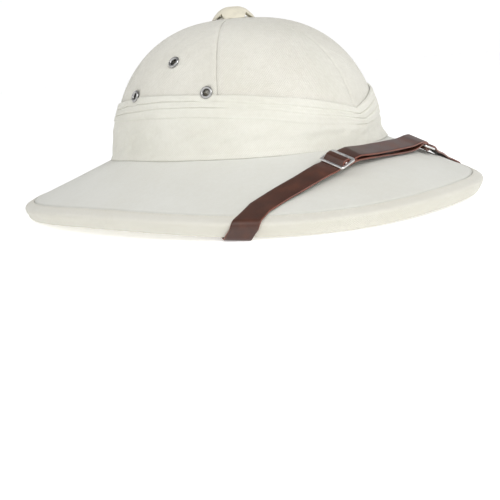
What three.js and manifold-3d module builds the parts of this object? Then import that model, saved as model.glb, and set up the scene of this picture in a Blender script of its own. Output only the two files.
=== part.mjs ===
// A cloth-covered pith helmet: wrapped band, vent cap, eyelets and a leather chin strap worn over the brim.
// Millimetres, +Z up, the wearer looks along -Y and the wearer's right is -X. The rim stands on z = 0.
import * as THREE from 'three';
import { mergeVertices } from 'three/addons/utils/BufferGeometryUtils.js';
import Module from 'manifold-3d';

const wasm = await Module();
wasm.setup();

// Driving dimensions of the crown at the foot of the band: half axes and heights to the side, front and rear
const FOOT = { side: 100.5, front: 116.5, rear: 118 };
const FOOT_HEIGHT = { side: 46.5, front: 46, rear: 39.5 };
const CROWN_SCALE = 0.96;
const CROWN_TOP = 144.5;
const APEX_SHIFT = -3.5;
// Fullness of the dome's outline: (1 - height^rise) ^ (1 / full)
const DOME = { side: { rise: 2.1, full: 2.9 }, front: { rise: 2, full: 2.2 }, rear: { rise: 2, full: 2.45 } };

// Driving dimensions of the brim: half axes and heights of the rim's top edge
const RIM = { side: 161, front: 188, rear: 194.5 };
const RIM_HEIGHT = { side: 15.2, front: 11.4, rear: 11.4 };
const RIM_SQUARENESS = 0.02;
const RIM_WAVE = 1.4;
const RIM_THICKNESS = 11.9;
const BINDING_WIDTH = 9.6;

// Walls and clearances
const GAP = 0.3;
const PANEL_THICKNESS = 1.2;
const COVER_THICKNESS = 1;
const BINDING_THICKNESS = 1.2;
const CROWN_WALL = 8;

// Chin strap, buckles, eyelets and cap
const STRAP = { width: 15.8, thickness: 1.4 };
const BUCKLE = { width: 19.5, length: 15, bar: 1.7, thickness: 1.4, centreBar: 1.8, corner: 1.1 };
const BUCKLE_AT = { x: -54.6, y: -130, z: 41.8 };
const BUCKLE_HEADING = { x: 0.955, y: -0.07, z: 0.29 };
const EYELET = { flange: 5.3, hole: 3, barrel: 3.6, rise: 1.2, through: 0.6, clearance: 0.35 };
const CAP = {
  radius: 17, height: 9.6, wall: 1.4, slotHeight: 4.9, slotWidth: 11, slotTip: 0.5, rearward: 1, stand: -0.1,
};

// The hat settles on its rear rim and on the strap's two turns under the rim
const SETTLE = { lean: 0.00302, lift: -0.152 };
const CENTRE_SHIFT = (RIM.front - RIM.rear) / 2;

// Seams of the crown's panels, from the front over each side to the rear, and the divisions between them
const SEAMS = [0, 62.5, 120, 180];
const DIVISIONS = 8;
const COLOURS = {
  cloth: { color: '#e4e3d8', roughness: 0.95, metalness: 0 },
  lining: { color: '#d9d6c4', roughness: 0.95, metalness: 0 },
  paint: { color: '#e0dcc4', roughness: 0.5, metalness: 0 },
  nickel: { color: '#c9c9c6', roughness: 0.25, metalness: 1 },
  leather: { color: '#4f3226', roughness: 0.4, metalness: 0 },
};

const rad = THREE.MathUtils.degToRad;
const V = (x, y, z) => new THREE.Vector3(x, y, z);
const lerp = THREE.MathUtils.lerp;

// Angles run from the front over the wearer's right side to the rear
function byDirection(angle, table) {
  const c = Math.cos(angle);
  return table.side + ((c > 0 ? table.front : table.rear) - table.side) * c * c;
}

function oval(angle, table, scale = 1) {
  const c = Math.cos(angle);
  const along = c > 0 ? table.front : table.rear;
  return [-table.side * scale * Math.sin(angle), -along * scale * c];
}

// Point of the crown cover's outer face: rise is 0 at the band's foot and 1 at the apex
function crownSurface(angle, rise) {
  const fullness = (d) => (1 - Math.min(rise, 1) ** d.rise) ** (1 / d.full);
  const c = Math.cos(angle);
  const along = c > 0 ? FOOT.front * fullness(DOME.front) : FOOT.rear * fullness(DOME.rear);
  return V(
    -FOOT.side * CROWN_SCALE * fullness(DOME.side) * Math.sin(angle),
    -along * CROWN_SCALE * c + APEX_SHIFT * rise,
    lerp(byDirection(angle, FOOT_HEIGHT), CROWN_TOP, rise),
  );
}

function crownNormal(angle, rise) {
  const step = 1e-4;
  const around = crownSurface(angle + step, rise).sub(crownSurface(angle - step, rise));
  const up = crownSurface(angle, rise + step).sub(crownSurface(angle, rise - step));
  const normal = around.cross(up).normalize();
  const outward = crownSurface(angle, rise).setZ(30);
  return normal.dot(outward) < 0 ? normal.negate() : normal;
}

function crownPoint(angle, rise, offset) {
  return crownSurface(angle, rise).addScaledVector(crownNormal(angle, rise), offset);
}

const riseAt = (angle, z) => {
  const foot = byDirection(angle, FOOT_HEIGHT);
  return (z - foot) / (CROWN_TOP - foot);
};

// The rim's top outer corner, and the brim's straight slope from it up to the band's foot
function rimCorner(angle) {
  const wave = Math.cos(4 * angle) - 1;
  const [x, y] = oval(angle, RIM, 1 - RIM_SQUARENESS * wave);
  return V(x, y, byDirection(angle, RIM_HEIGHT) + RIM_WAVE * wave);
}

function brimFrame(angle) {
  const corner = rimCorner(angle);
  const foot = V(...oval(angle, FOOT), byDirection(angle, FOOT_HEIGHT));
  const out = corner.clone().sub(foot);
  const length = out.length();
  out.normalize();
  const along = rimCorner(angle + 1e-4).sub(rimCorner(angle - 1e-4));
  const up = along.cross(out).normalize();
  if (up.z < 0) up.negate();
  return { corner, out, up, length };
}

// Point of the brim: inward from the rim's top corner and up from the top face
function brimPoint(angle, inward, up) {
  const f = brimFrame(angle);
  return f.corner.clone().addScaledVector(f.out, -inward).addScaledVector(f.up, up);
}

// The whole hat is set level on its resting points, where cloth and leather flatten, and centred
function settle(p) {
  return V(p.x, p.y + CENTRE_SHIFT, Math.max(p.z - SETTLE.lean * p.y + SETTLE.lift, 0));
}

// A closed skin between two grids of points, outer[i][j] and inner[i][j]; it may close on itself along i
function skin(outer, inner, closed) {
  const columns = outer.length;
  const rows = outer[0].length;
  const points = [...outer.flat(), ...inner.flat()].map(settle);
  const at = (side, i, j) => side * columns * rows + (i % columns) * rows + j;
  const faces = [];
  const quad = (a, b, c, d) => faces.push(a, b, c, a, c, d);
  const cells = closed ? columns : columns - 1;
  for (let i = 0; i < cells; i += 1) {
    for (let j = 0; j < rows - 1; j += 1) {
      quad(at(0, i, j), at(0, i + 1, j), at(0, i + 1, j + 1), at(0, i, j + 1));
      quad(at(1, i, j), at(1, i, j + 1), at(1, i + 1, j + 1), at(1, i + 1, j));
    }
    quad(at(0, i + 1, 0), at(0, i, 0), at(1, i, 0), at(1, i + 1, 0));
    const last = rows - 1;
    quad(at(0, i, last), at(0, i + 1, last), at(1, i + 1, last), at(1, i, last));
  }
  if (!closed) {
    for (let j = 0; j < rows - 1; j += 1) {
      const end = columns - 1;
      quad(at(0, 0, j), at(0, 0, j + 1), at(1, 0, j + 1), at(1, 0, j));
      quad(at(0, end, j + 1), at(0, end, j), at(1, end, j), at(1, end, j + 1));
    }
  }
  const geometry = new THREE.BufferGeometry();
  const flat = points.flatMap((p) => [p.x, p.y, p.z]);
  geometry.setAttribute('position', new THREE.Float32BufferAttribute(flat, 3));
  geometry.setIndex(faces);
  return facingOut(geometry);
}

function facingOut(geometry) {
  const p = geometry.attributes.position;
  const index = geometry.index.array;
  let volume = 0;
  for (let k = 0; k < index.length; k += 3) {
    const [a, b, c] = [0, 1, 2].map((m) => new THREE.Vector3().fromBufferAttribute(p, index[k + m]));
    volume += a.dot(b.cross(c));
  }
  if (volume < 0) {
    const turned = Array.from(index);
    for (let k = 0; k < turned.length; k += 3) [turned[k], turned[k + 1]] = [turned[k + 1], turned[k]];
    geometry.setIndex(turned);
  }
  return geometry;
}

function toSolid(geometry) {
  const bare = geometry.clone();
  bare.deleteAttribute('normal');
  bare.deleteAttribute('uv');
  const merged = mergeVertices(bare, 1e-4);
  return new wasm.Manifold(new wasm.Mesh({
    numProp: 3,
    vertProperties: new Float32Array(merged.attributes.position.array),
    triVerts: new Uint32Array(merged.index.array),
  }));
}

function fromSolid(solid) {
  const mesh = solid.getMesh();
  const geometry = new THREE.BufferGeometry();
  geometry.setAttribute('position', new THREE.Float32BufferAttribute(mesh.vertProperties, 3));
  geometry.setIndex(Array.from(mesh.triVerts));
  return geometry;
}

function cut(geometry, tools) {
  return fromSolid(tools.reduce((solid, tool) => solid.subtract(toSolid(tool)), toSolid(geometry)));
}

const divide = (from, to) => Array.from({ length: DIVISIONS }, (_, i) => rad(lerp(from, to, i / DIVISIONS)));
const half = SEAMS.slice(1).flatMap((seam, k) => divide(SEAMS[k], seam));
const stationAngles = [...half, Math.PI, ...half.slice(1).reverse().map((angle) => 2 * Math.PI - angle)];

// Heights of the crown's rows, closer together towards the flat top
const CROWN_RISES = [0.03, 0.18, 0.33, 0.48, 0.62, 0.75, 0.86, 0.94, 0.983, 0.9985];

function pithBody() {
  const crownOuter = -(PANEL_THICKNESS + GAP);
  const topNearFoot = -2.1;
  const topNearRim = -(BINDING_THICKNESS + GAP);
  const under = -(RIM_THICKNESS - BINDING_THICKNESS - GAP);
  const down = [...CROWN_RISES].reverse();
  const outer = stationAngles.map((a) => {
    const { length } = brimFrame(a);
    return [
      ...down.map((rise) => crownPoint(a, rise, crownOuter)),
      brimPoint(a, length + 2.5, topNearFoot),
      brimPoint(a, 4, topNearRim),
      brimPoint(a, 1.7, topNearRim - 1.4),
    ];
  });
  const inner = stationAngles.map((a) => {
    const { length } = brimFrame(a);
    return [
      ...down.map((rise) => crownPoint(a, rise, crownOuter - CROWN_WALL)),
      brimPoint(a, length + 4, under),
      brimPoint(a, 4, under),
      brimPoint(a, 1.7, under + 1.4),
    ];
  });
  return skin(outer, inner, true);
}

function crownPanel(from, to) {
  const angles = [...divide(from, to), rad(to)];
  const rows = (offset) => angles.map((a, i) => CROWN_RISES.map((rise) => {
    const p = crownPoint(a, rise, offset);
    const nudge = { 0: 1, [DIVISIONS]: -1 }[i] ?? 0;
    const along = crownSurface(a + 1e-3, rise).sub(crownSurface(a - 1e-3, rise)).normalize();
    return p.addScaledVector(along, (nudge * GAP) / 2);
  }));
  return skin(rows(0), rows(-PANEL_THICKNESS), false);
}

function brimCover() {
  const clear = BINDING_WIDTH + 0.4;
  const ring = (nearFoot, nearBinding) => stationAngles.map((a) => [
    brimPoint(a, brimFrame(a).length + 2.2, nearFoot),
    brimPoint(a, clear, nearBinding),
  ]);
  return skin(ring(-0.8, -0.2), ring(-0.8 - COVER_THICKNESS, -0.2 - COVER_THICKNESS), true);
}

// The binding's section runs from the top of the brim round the rounded edge and under it
const T = RIM_THICKNESS;
const BINDING_OUTER = [
  [BINDING_WIDTH, 0], [3, 0], [0.8, -0.9], [0, -3.2],
  [0, 3.2 - T], [0.9, 0.9 - T], [3.2, -T], [BINDING_WIDTH, -T],
];
const b = BINDING_THICKNESS;
const BINDING_INNER = [
  [BINDING_WIDTH, -b], [3, -b], [1.8, -b - 0.7], [b, -3.2],
  [b, 3.2 - T], [1.8, b + 0.7 - T], [3.2, b - T], [BINDING_WIDTH, b - T],
];

// Cloth is flattened where the rim rests on the surface behind the wearer's ears
const REST_FLAT = { from: rad(138), to: rad(166), level: 0 };

function rimBinding() {
  const ring = (section) => stationAngles.map((a) => section.map(([inward, up]) => brimPoint(a, inward, up)));
  const outer = ring(BINDING_OUTER);
  const inner = ring(BINDING_INNER);
  stationAngles.forEach((a, i) => {
    const fromRear = a > Math.PI ? 2 * Math.PI - a : a;
    if (fromRear < REST_FLAT.from || fromRear > REST_FLAT.to) return;
    [5, 6].forEach((j) => {
      const p = outer[i][j];
      p.z = REST_FLAT.level + SETTLE.lean * p.y - SETTLE.lift;
    });
  });
  return skin(outer, inner, true);
}

// Height of the band's top edge: highest at the sides, lower behind, and dipping to the crossing at the front
function bandTop(angle) {
  const turn = Math.abs(Math.atan2(Math.sin(angle), Math.cos(angle)));
  return byDirection(angle, { side: 92.3, front: 82.8, rear: 76.5 }) - 11 * Math.exp(-turn / rad(14));
}

// The band's outer face from its top edge down: distance below the top edge, and standing off the crown
const PLEATS = [
  { below: 0, off: 1.25 }, { below: 4.7, off: 1.45 }, { below: 5.1, off: 2.3 }, { below: 9.2, off: 2.1 },
  { below: 9.7, off: 2.9 }, { below: 16, off: 2.6 }, { below: 17, off: 2 },
];
const BAND_FOOT = [{ above: 9, off: 2.4 }, { above: 0.4, off: 4.2 }];
// Where the band is low, its pleats draw closer together; the hem is folded under at the foot
const BAND_SQUEEZE = { foot: 12, full: 24 };
const HEM_FOLD = 1.2;

function puggaree() {
  const section = (a, offset) => {
    const top = bandTop(a);
    const foot = byDirection(a, FOOT_HEIGHT);
    const squeeze = Math.min(1, (top - foot - BAND_SQUEEZE.foot) / BAND_SQUEEZE.full);
    const fold = offset === inside ? HEM_FOLD : 0;
    const at = (z, row) => crownPoint(a, riseAt(a, z), offset(row));
    return [
      ...PLEATS.map((row) => at(top - row.below * squeeze, row)),
      ...BAND_FOOT.map((row) => at(foot + row.above + fold, row)),
    ];
  };
  const inside = () => 2 * GAP;
  const outside = (row) => row.off;
  return skin(
    stationAngles.map((a) => section(a, outside)),
    stationAngles.map((a) => section(a, inside)),
    true,
  );
}

// Eyelets: three on each side, the lower two through the band's top edge
const EYELET_PLACES = {
  front: { angle: 67, height: 92.3, stand: 1.55 },
  top: { angle: 87.5, height: 115.2, stand: GAP },
  rear: { angle: 108, height: 92.3, stand: 1.55 },
};

function onCrown(geometry, side, place) {
  const a = rad(side * place.angle);
  const rise = riseAt(a, place.height);
  const turn = new THREE.Quaternion().setFromUnitVectors(V(0, 0, 1), crownNormal(a, rise));
  geometry.applyQuaternion(turn);
  const at = settle(crownSurface(a, rise));
  geometry.translate(at.x, at.y, at.z);
  return geometry;
}

// Profiles are turned about +Y, so they are stood up along +Z first
function turned(profile, segments) {
  const geometry = new THREE.LatheGeometry(profile.map(([r, h]) => new THREE.Vector2(r, h)), segments);
  geometry.rotateX(Math.PI / 2);
  return geometry;
}

function closedTurned(profile, segments) {
  const lathe = turned([...profile, profile[0]], segments);
  lathe.deleteAttribute('normal');
  lathe.deleteAttribute('uv');
  return facingOut(mergeVertices(lathe, 1e-4));
}

function eyelet(side, place) {
  const { flange, hole, barrel, rise } = EYELET;
  const s = place.stand;
  const depth = -(PANEL_THICKNESS + GAP + CROWN_WALL + EYELET.through);
  const profile = [
    [hole, depth], [barrel, depth], [barrel, s], [flange, s],
    [flange - 0.5, s + rise * 0.67], [hole + 0.9, s + rise], [hole, s + rise / 3],
  ];
  return onCrown(closedTurned(profile, 12), side, place);
}

function eyeletHole(side, place) {
  const radius = EYELET.barrel + EYELET.clearance;
  const drill = new THREE.CylinderGeometry(radius, radius, 40, 12);
  drill.rotateX(Math.PI / 2);
  return onCrown(drill, side, place);
}

// The cap: a low dome on four feet, with a pointed opening between each two
const CAP_ARCH = [[0, 1], [0.36, 0.95], [0.62, 0.74], [0.82, 0.4], [1, 0]];
function ventCap() {
  const { radius, height, wall } = CAP;
  const crown = CAP_ARCH.map(([r, h]) => [radius * r, height * h]);
  const inside = crown.map(([r, h]) => [Math.max(r - wall * 0.9, 0), h - wall * 0.6]).reverse();
  inside[0][1] = 0;
  inside[0][0] = radius - wall;
  inside[inside.length - 1][1] = height - wall;
  const dome = closedTurned([...crown, ...inside], 24);
  const slots = [0, 1].map((k) => {
    const arch = new THREE.Shape();
    arch.moveTo(-CAP.slotWidth / 2, -1);
    arch.lineTo(CAP.slotWidth / 2, -1);
    arch.lineTo(CAP.slotTip, CAP.slotHeight);
    arch.lineTo(-CAP.slotTip, CAP.slotHeight);
    const slot = new THREE.ExtrudeGeometry(arch, { depth: 4 * radius, bevelEnabled: false });
    slot.translate(0, 0, -2 * radius);
    slot.rotateX(Math.PI / 2);
    slot.rotateZ((k * Math.PI) / 2);
    return slot;
  });
  const cap = cut(dome, slots);
  const base = settle(V(0, CAP.rearward, CROWN_TOP + CAP.stand));
  cap.translate(base.x, base.y, base.z);
  return cap;
}

// The chin strap's middle line above the brim, from the rim on the right to the centre of the front
const BRIDGE_OUTER = [
  { x: -128, y: -113.2, z: 17 },
  { x: -116, y: -113.9, z: 20.6 },
  { x: -102, y: -117.2, z: 25.4 },
  { x: -84, y: -123.6, z: 31.8 },
];
const BRIDGE_INNER = [{ x: -28, y: -132, z: 43 }, { x: -14, y: -132.4, z: 42.2 }];
const BRIDGE_CENTRE = { x: 0, y: -132.5, z: 41.8 };
const PITCH = { brim: 18.5, bridge: 21, from: 70, to: 84 };
const STRAIGHT = [-9, -6, -3, 0, 3, 6, 9];

function bridgeLine() {
  const centre = V(BUCKLE_AT.x, BUCKLE_AT.y, BUCKLE_AT.z);
  const along = V(BUCKLE_HEADING.x, BUCKLE_HEADING.y, BUCKLE_HEADING.z).normalize();
  const half = [
    ...BRIDGE_OUTER.map((p) => V(p.x, p.y, p.z)),
    ...STRAIGHT.map((s) => centre.clone().addScaledVector(along, s)),
    ...BRIDGE_INNER.map((p) => V(p.x, p.y, p.z)),
  ];
  const mirrored = half.map((p) => V(-p.x, p.y, p.z)).reverse();
  const middle = V(BRIDGE_CENTRE.x, BRIDGE_CENTRE.y, BRIDGE_CENTRE.z);
  const curve = new THREE.CatmullRomCurve3([...half, middle, ...mirrored], false, 'centripetal');
  const points = curve.getPoints(3000);
  const lengths = [0];
  for (let i = 1; i < points.length; i += 1) {
    lengths.push(lengths[i - 1] + points[i].distanceTo(points[i - 1]));
  }
  const nearest = (q) => {
    const distances = points.map((point) => point.distanceTo(q));
    return distances.indexOf(Math.min(...distances));
  };
  const zero = lengths[nearest(centre)];
  const span = lengths[nearest(V(-centre.x, centre.y, centre.z))] - zero;
  const at = (s) => {
    const target = THREE.MathUtils.clamp(s + zero, 0, lengths[lengths.length - 1]);
    let i = lengths.findIndex((length) => length >= target);
    i = Math.max(i, 1);
    const share = (target - lengths[i - 1]) / (lengths[i] - lengths[i - 1]);
    return points[i - 1].clone().lerp(points[i], share);
  };
  return { at, span, start: -zero };
}

const LINE = bridgeLine();

// Frame of the strap at a distance from its own buckle's centre: along, across (uphill) and off its face
function bridgeFrame(s) {
  const point = LINE.at(s);
  const along = LINE.at(s + 0.5).sub(LINE.at(s - 0.5)).normalize();
  const share = THREE.MathUtils.clamp((Math.abs(point.x) - PITCH.from) / (PITCH.to - PITCH.from), 0, 1);
  const pitch = rad(lerp(PITCH.bridge, PITCH.brim, share));
  const across = V(0, Math.cos(pitch), Math.sin(pitch));
  across.addScaledVector(along, -across.dot(along)).normalize();
  const up = along.clone().cross(across);
  return { point, along, across, up };
}

const WIDTHS = [-0.5, -1 / 6, 1 / 6, 0.5].map((share) => share * STRAP.width);

// Path of a layer beside its own buckle: distance along, height over the buckle's middle, thickness
const H = STRAP.thickness;
const FOLD = 0.9;
const OWN_END = [
  [-24, 0, H], [-15, -0.5, H], [-10.5, -1.4, H], [-8.4, -1.5, H], [-5.1, -1.5, H], [-2, 2.55, H],
  [2, 2.55, H], [5, -1.5, H], [8.6, -1.5, H], [17, 0.9, H], [24, 1.3, H],
];
// The same beside the other buckle, from the middle to the folded end that returns between the layers
const FAR_END = [
  [27, 1.3, H], [17, 2.3, H], [9.5, 4, H], [4.2, 4, H],
  [1.3, 1.38, FOLD], [-1, 1.36, FOLD], [-1.7, 0.68, FOLD], [-1.7, -0.68, FOLD], [-1, -1.3, FOLD],
  [1.3, -1.3, FOLD], [4.4, 2.75, FOLD], [9, 2.75, FOLD], [14, 1.6, FOLD],
];

// Each corner of a path is rounded with a short curve
function rounded(path) {
  const out = [path[0]];
  for (let i = 1; i < path.length - 1; i += 1) {
    const [before, here, after] = [path[i - 1], path[i], path[i + 1]];
    const legIn = Math.hypot(here[0] - before[0], here[1] - before[1]);
    const legOut = Math.hypot(after[0] - here[0], after[1] - here[1]);
    const mix = (p, q, share) => p.map((v, k) => lerp(v, q[k], share));
    const start = mix(here, before, Math.min(0.8 / legIn, 0.4));
    const stop = mix(here, after, Math.min(0.8 / legOut, 0.4));
    out.push(start, mix(mix(start, here, 0.5), mix(here, stop, 0.5), 0.5), stop);
  }
  out.push(path[path.length - 1]);
  return out;
}

function stripStations(path, flip) {
  return path.map((point, i) => {
    const before = path[Math.max(i - 1, 0)];
    const after = path[Math.min(i + 1, path.length - 1)];
    const unit = (p, q) => new THREE.Vector2(q[0] - p[0], (q[1] - p[1]) * flip).normalize();
    const legIn = i > 0 ? unit(before, point) : unit(point, after);
    const legOut = i < path.length - 1 ? unit(point, after) : legIn;
    const heading = legIn.clone().add(legOut).normalize();
    const mitre = 1 / Math.max(heading.dot(legIn), 0.7);
    const f = bridgeFrame(point[0]);
    const off = f.along.clone().multiplyScalar(-heading.y).addScaledVector(f.up, heading.x);
    off.multiplyScalar((point[2] / 2) * mitre);
    const middle = f.point.clone().addScaledVector(f.up, point[1] * flip);
    const at = (w, side) => middle.clone().addScaledVector(f.across, w).addScaledVector(off, side);
    const row = (side) => WIDTHS.map((w) => at(w, side));
    return { outer: row(1), inner: row(-1) };
  });
}

// The strap turns over the rim in a slanting wrap; across runs round the rim's section, along follows it
const WRAP = {
  angle: 53.7, slant: rad(34), corner: 3.2, perRadian: 186, clear: 0.7, from: -16, to: 38, taper: 13,
};

function rimWrapPoint(across, along, off) {
  const a = rad(WRAP.angle) + along / WRAP.perRadian;
  const r = WRAP.corner;
  const arc = (r * Math.PI) / 2;
  const flat = T - 2 * r;
  let inward = r + across - 2 * arc - flat;
  let up = -T - off;
  if (across < 0) {
    inward = r - across;
    up = off;
  } else if (across < arc) {
    inward = r - (r + off) * Math.sin(across / r);
    up = -r + (r + off) * Math.cos(across / r);
  } else if (across < arc + flat) {
    inward = -off;
    up = arc - r - across;
  } else if (across < 2 * arc + flat) {
    const turn = (across - arc - flat) / r;
    inward = r - (r + off) * Math.cos(turn);
    up = r - T - (r + off) * Math.sin(turn);
  }
  return brimPoint(a, inward, up);
}

// Where the strap bends round the rim its rows are slanted too, so that they lie along the rim
function wrapStation(l) {
  const fromEnd = Math.min(l - WRAP.from, WRAP.to - l);
  const shear = THREE.MathUtils.clamp(fromEnd / WRAP.taper, 0, 1);
  const row = (off) => WIDTHS.map((w) => {
    const m = l + shear * w * Math.tan(WRAP.slant);
    return rimWrapPoint(
      m * Math.cos(WRAP.slant) - w * Math.sin(WRAP.slant),
      m * Math.sin(WRAP.slant) + w * Math.cos(WRAP.slant),
      off,
    );
  });
  return { outer: row(WRAP.clear + STRAP.thickness), inner: row(WRAP.clear) };
}

// Under the brim the strap runs straight in to a rivet on the crown's inner wall
const UNDER = [
  { x: -121, y: -76.8, z: 12.2, face: [0.4, 0.2, -1] }, { x: -113, y: -61.5, z: 18, face: [0.4, 0.2, -1] },
  { x: -104, y: -46, z: 24.2, face: [0.42, 0.15, -1] }, { x: -94, y: -32, z: 29.3, face: [0.6, 0.1, -0.9] },
  { x: -87, y: -21.5, z: 37, face: [0.9, 0, -0.55] }, { x: -83.8, y: -12.5, z: 46, face: [1, 0, -0.15] },
  { x: -83.3, y: -5, z: 54, face: [1, 0.03, 0] }, { x: -82.5, y: 2.5, z: 61.5, face: [1, 0.05, 0.08] },
];
const RIVET = { head: 5, rise: 1.4, shank: 1.6, depth: 5, clearance: 0.35 };

function underStations() {
  const curve = new THREE.CatmullRomCurve3(UNDER.map((p) => V(p.x, p.y, p.z)), false, 'centripetal');
  const faces = new THREE.CatmullRomCurve3(UNDER.map((p) => V(...p.face).normalize()), false, 'centripetal');
  const count = 14;
  return Array.from({ length: count + 1 }, (_, i) => {
    const u = i / count;
    const middle = curve.getPoint(u);
    const along = curve.getTangent(u);
    const face = faces.getPoint(u);
    face.addScaledVector(along, -face.dot(along)).normalize();
    const across = face.clone().cross(along).negate();
    const row = (side) => WIDTHS.map((w) => middle.clone()
      .addScaledVector(across, w)
      .addScaledVector(face, (side * STRAP.thickness) / 2));
    return { outer: row(1), inner: row(-1), middle, along, face };
  });
}

function rivetFrame() {
  const stations = underStations();
  return stations[stations.length - 4];
}

function steps(from, to, size) {
  const count = Math.ceil(Math.abs(to - from) / size);
  return Array.from({ length: count + 1 }, (_, i) => lerp(from, to, i / count));
}

const mirrorX = (p) => V(-p.x, p.y, p.z);

// The left slide lies lower than the right one, so the strap above the brim sags there
const SAG = { depth: 3.2, from: -12, to: 42, hold: 68, end: 104, behind: -90 };

function sag(p) {
  if (p.y > SAG.behind) return p.clone();
  const lowered = THREE.MathUtils.smoothstep(p.x, SAG.from, SAG.to);
  const share = lowered * (1 - THREE.MathUtils.smoothstep(p.x, SAG.hold, SAG.end));
  return V(p.x, p.y, p.z - SAG.depth * share);
}

// Half of the strap: rivet, under the brim, round the rim, its own buckle, over the front to the other buckle
function strapHalf(side) {
  const flip = side;
  const under = underStations().reverse();
  const wrap = steps(WRAP.to, WRAP.from, 2).map(wrapStation);
  const lead = steps(-62, -30, 7).map((s) => [s, 0, H]);
  const crossing = steps(29, LINE.span - 33, 8).map((s) => [s, 1.3, H]);
  const far = rounded(FAR_END).map(([s, n, h]) => [LINE.span - s, n, h]);
  const path = [...lead, ...rounded(OWN_END), ...crossing, ...far];
  const stations = [...under, ...wrap, ...stripStations(path, flip)];
  const place = (p) => sag(side > 0 ? p : mirrorX(p));
  const rows = (face) => stations.map((station) => station[face].map(place));
  return cut(skin(rows('outer'), rows('inner'), false), [rivetDrill(side)]);
}

// Parts built in a strap frame are carried to their side and set level with the rest
function inFrame(geometry, side, origin, x, y, z) {
  geometry.applyMatrix4(new THREE.Matrix4().makeBasis(x, y, z));
  geometry.translate(origin.x, origin.y, origin.z);
  if (side < 0) geometry.scale(-1, 1, 1);
  const p = geometry.attributes.position;
  for (let i = 0; i < p.count; i += 1) {
    const q = settle(sag(new THREE.Vector3().fromBufferAttribute(p, i)));
    p.setXYZ(i, q.x, q.y, q.z);
  }
  return facingOut(geometry);
}

function indexed(geometry) {
  const bare = geometry.clone();
  bare.deleteAttribute('normal');
  bare.deleteAttribute('uv');
  return mergeVertices(bare, 1e-4);
}

function buckle(side) {
  const { length, width, bar, thickness, centreBar, corner } = BUCKLE;
  const [x, y] = [length / 2, width / 2];
  const c = corner;
  const d = 0.3 * c;
  const outline = new THREE.Shape([
    [-x + c, -y], [x - c, -y], [x - d, -y + d], [x, -y + c],
    [x, y - c], [x - d, y - d], [x - c, y], [-x + c, y],
    [-x + d, y - d], [-x, y - c], [-x, -y + c], [-x + d, -y + d],
  ].map(([px, py]) => new THREE.Vector2(px, py)));
  const plate = new THREE.ExtrudeGeometry(outline, { depth: thickness, bevelEnabled: false });
  plate.translate(0, 0, -thickness / 2);
  const opening = x - bar - centreBar / 2;
  const windows = [-1, 1].map((end) => {
    const window = new THREE.BoxGeometry(opening, width - 2 * bar, 2 * thickness);
    window.translate((end * (opening + centreBar)) / 2, 0, 0);
    return window;
  });
  const f = bridgeFrame(0);
  return inFrame(cut(plate, windows), side, f.point, f.along, f.across, f.up);
}

// The rivets: a round head on the strap's inner face, and a pin through it into the crown's wall
function anchor(side) {
  const { head, rise, shank, depth } = RIVET;
  const face = H / 2 + GAP;
  const profile = [
    [0, -depth], [shank, -depth], [shank, face], [head, face], [head * 0.7, face + rise], [0, face + rise],
  ];
  const f = rivetFrame();
  const across = f.face.clone().cross(f.along);
  return inFrame(closedTurned(profile, 12), side, f.middle, f.along, across, f.face);
}

function rivetDrill(side) {
  const radius = RIVET.shank + RIVET.clearance;
  const drill = new THREE.CylinderGeometry(radius, radius, 2 * (RIVET.depth + 0.5), 10);
  drill.rotateX(Math.PI / 2);
  const f = rivetFrame();
  const across = f.face.clone().cross(f.along);
  return inFrame(indexed(drill), side, f.middle, f.along, across, f.face);
}

const group = new THREE.Group();
function add(name, geometry, look) {
  geometry.computeVertexNormals();
  const mesh = new THREE.Mesh(geometry, new THREE.MeshStandardMaterial(COLOURS[look]));
  mesh.name = name;
  group.add(mesh);
}

const SIDES = { right: 1, left: -1 };
const holes = [];
Object.values(SIDES).forEach((side) => {
  Object.values(EYELET_PLACES).forEach((place) => holes.push(eyeletHole(side, place)));
});

const sides = Object.values(SIDES);
add('pith_body', cut(pithBody(), [...holes, ...sides.map(rivetDrill)]), 'lining');
const PANELS = { front: SEAMS.slice(0, 2), side: SEAMS.slice(1, 3), rear: SEAMS.slice(2) };
Object.entries(SIDES).forEach(([sideName, side]) => {
  Object.entries(PANELS).forEach(([place, [from, to]]) => {
    const panel = side > 0 ? crownPanel(from, to) : crownPanel(-to, -from);
    add(`crown_panel_${place}_${sideName}`, place === 'side' ? cut(panel, holes) : panel, 'cloth');
  });
});
add('brim_cover', brimCover(), 'cloth');
add('rim_binding', rimBinding(), 'cloth');
add('puggaree', cut(puggaree(), holes), 'cloth');
add('vent_cap', ventCap(), 'paint');
Object.entries(SIDES).forEach(([sideName, side]) => {
  Object.entries(EYELET_PLACES).forEach(([place, spot]) => {
    add(`eyelet_${sideName}_${place}`, eyelet(side, spot), 'nickel');
  });
});

Object.entries(SIDES).forEach(([sideName, side]) => {
  add(`strap_${sideName}`, strapHalf(side), 'leather');
  add(`buckle_${sideName}`, buckle(side), 'nickel');
  add(`anchor_${sideName}`, anchor(side), 'nickel');
});

export default group;
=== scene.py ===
"""A cloth-covered pith helmet with a wrapped band, vent cap, eyelets and a leather chin strap."""
import math

import bmesh
import bpy
import numpy as np
from mathutils import Matrix, Vector


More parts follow.
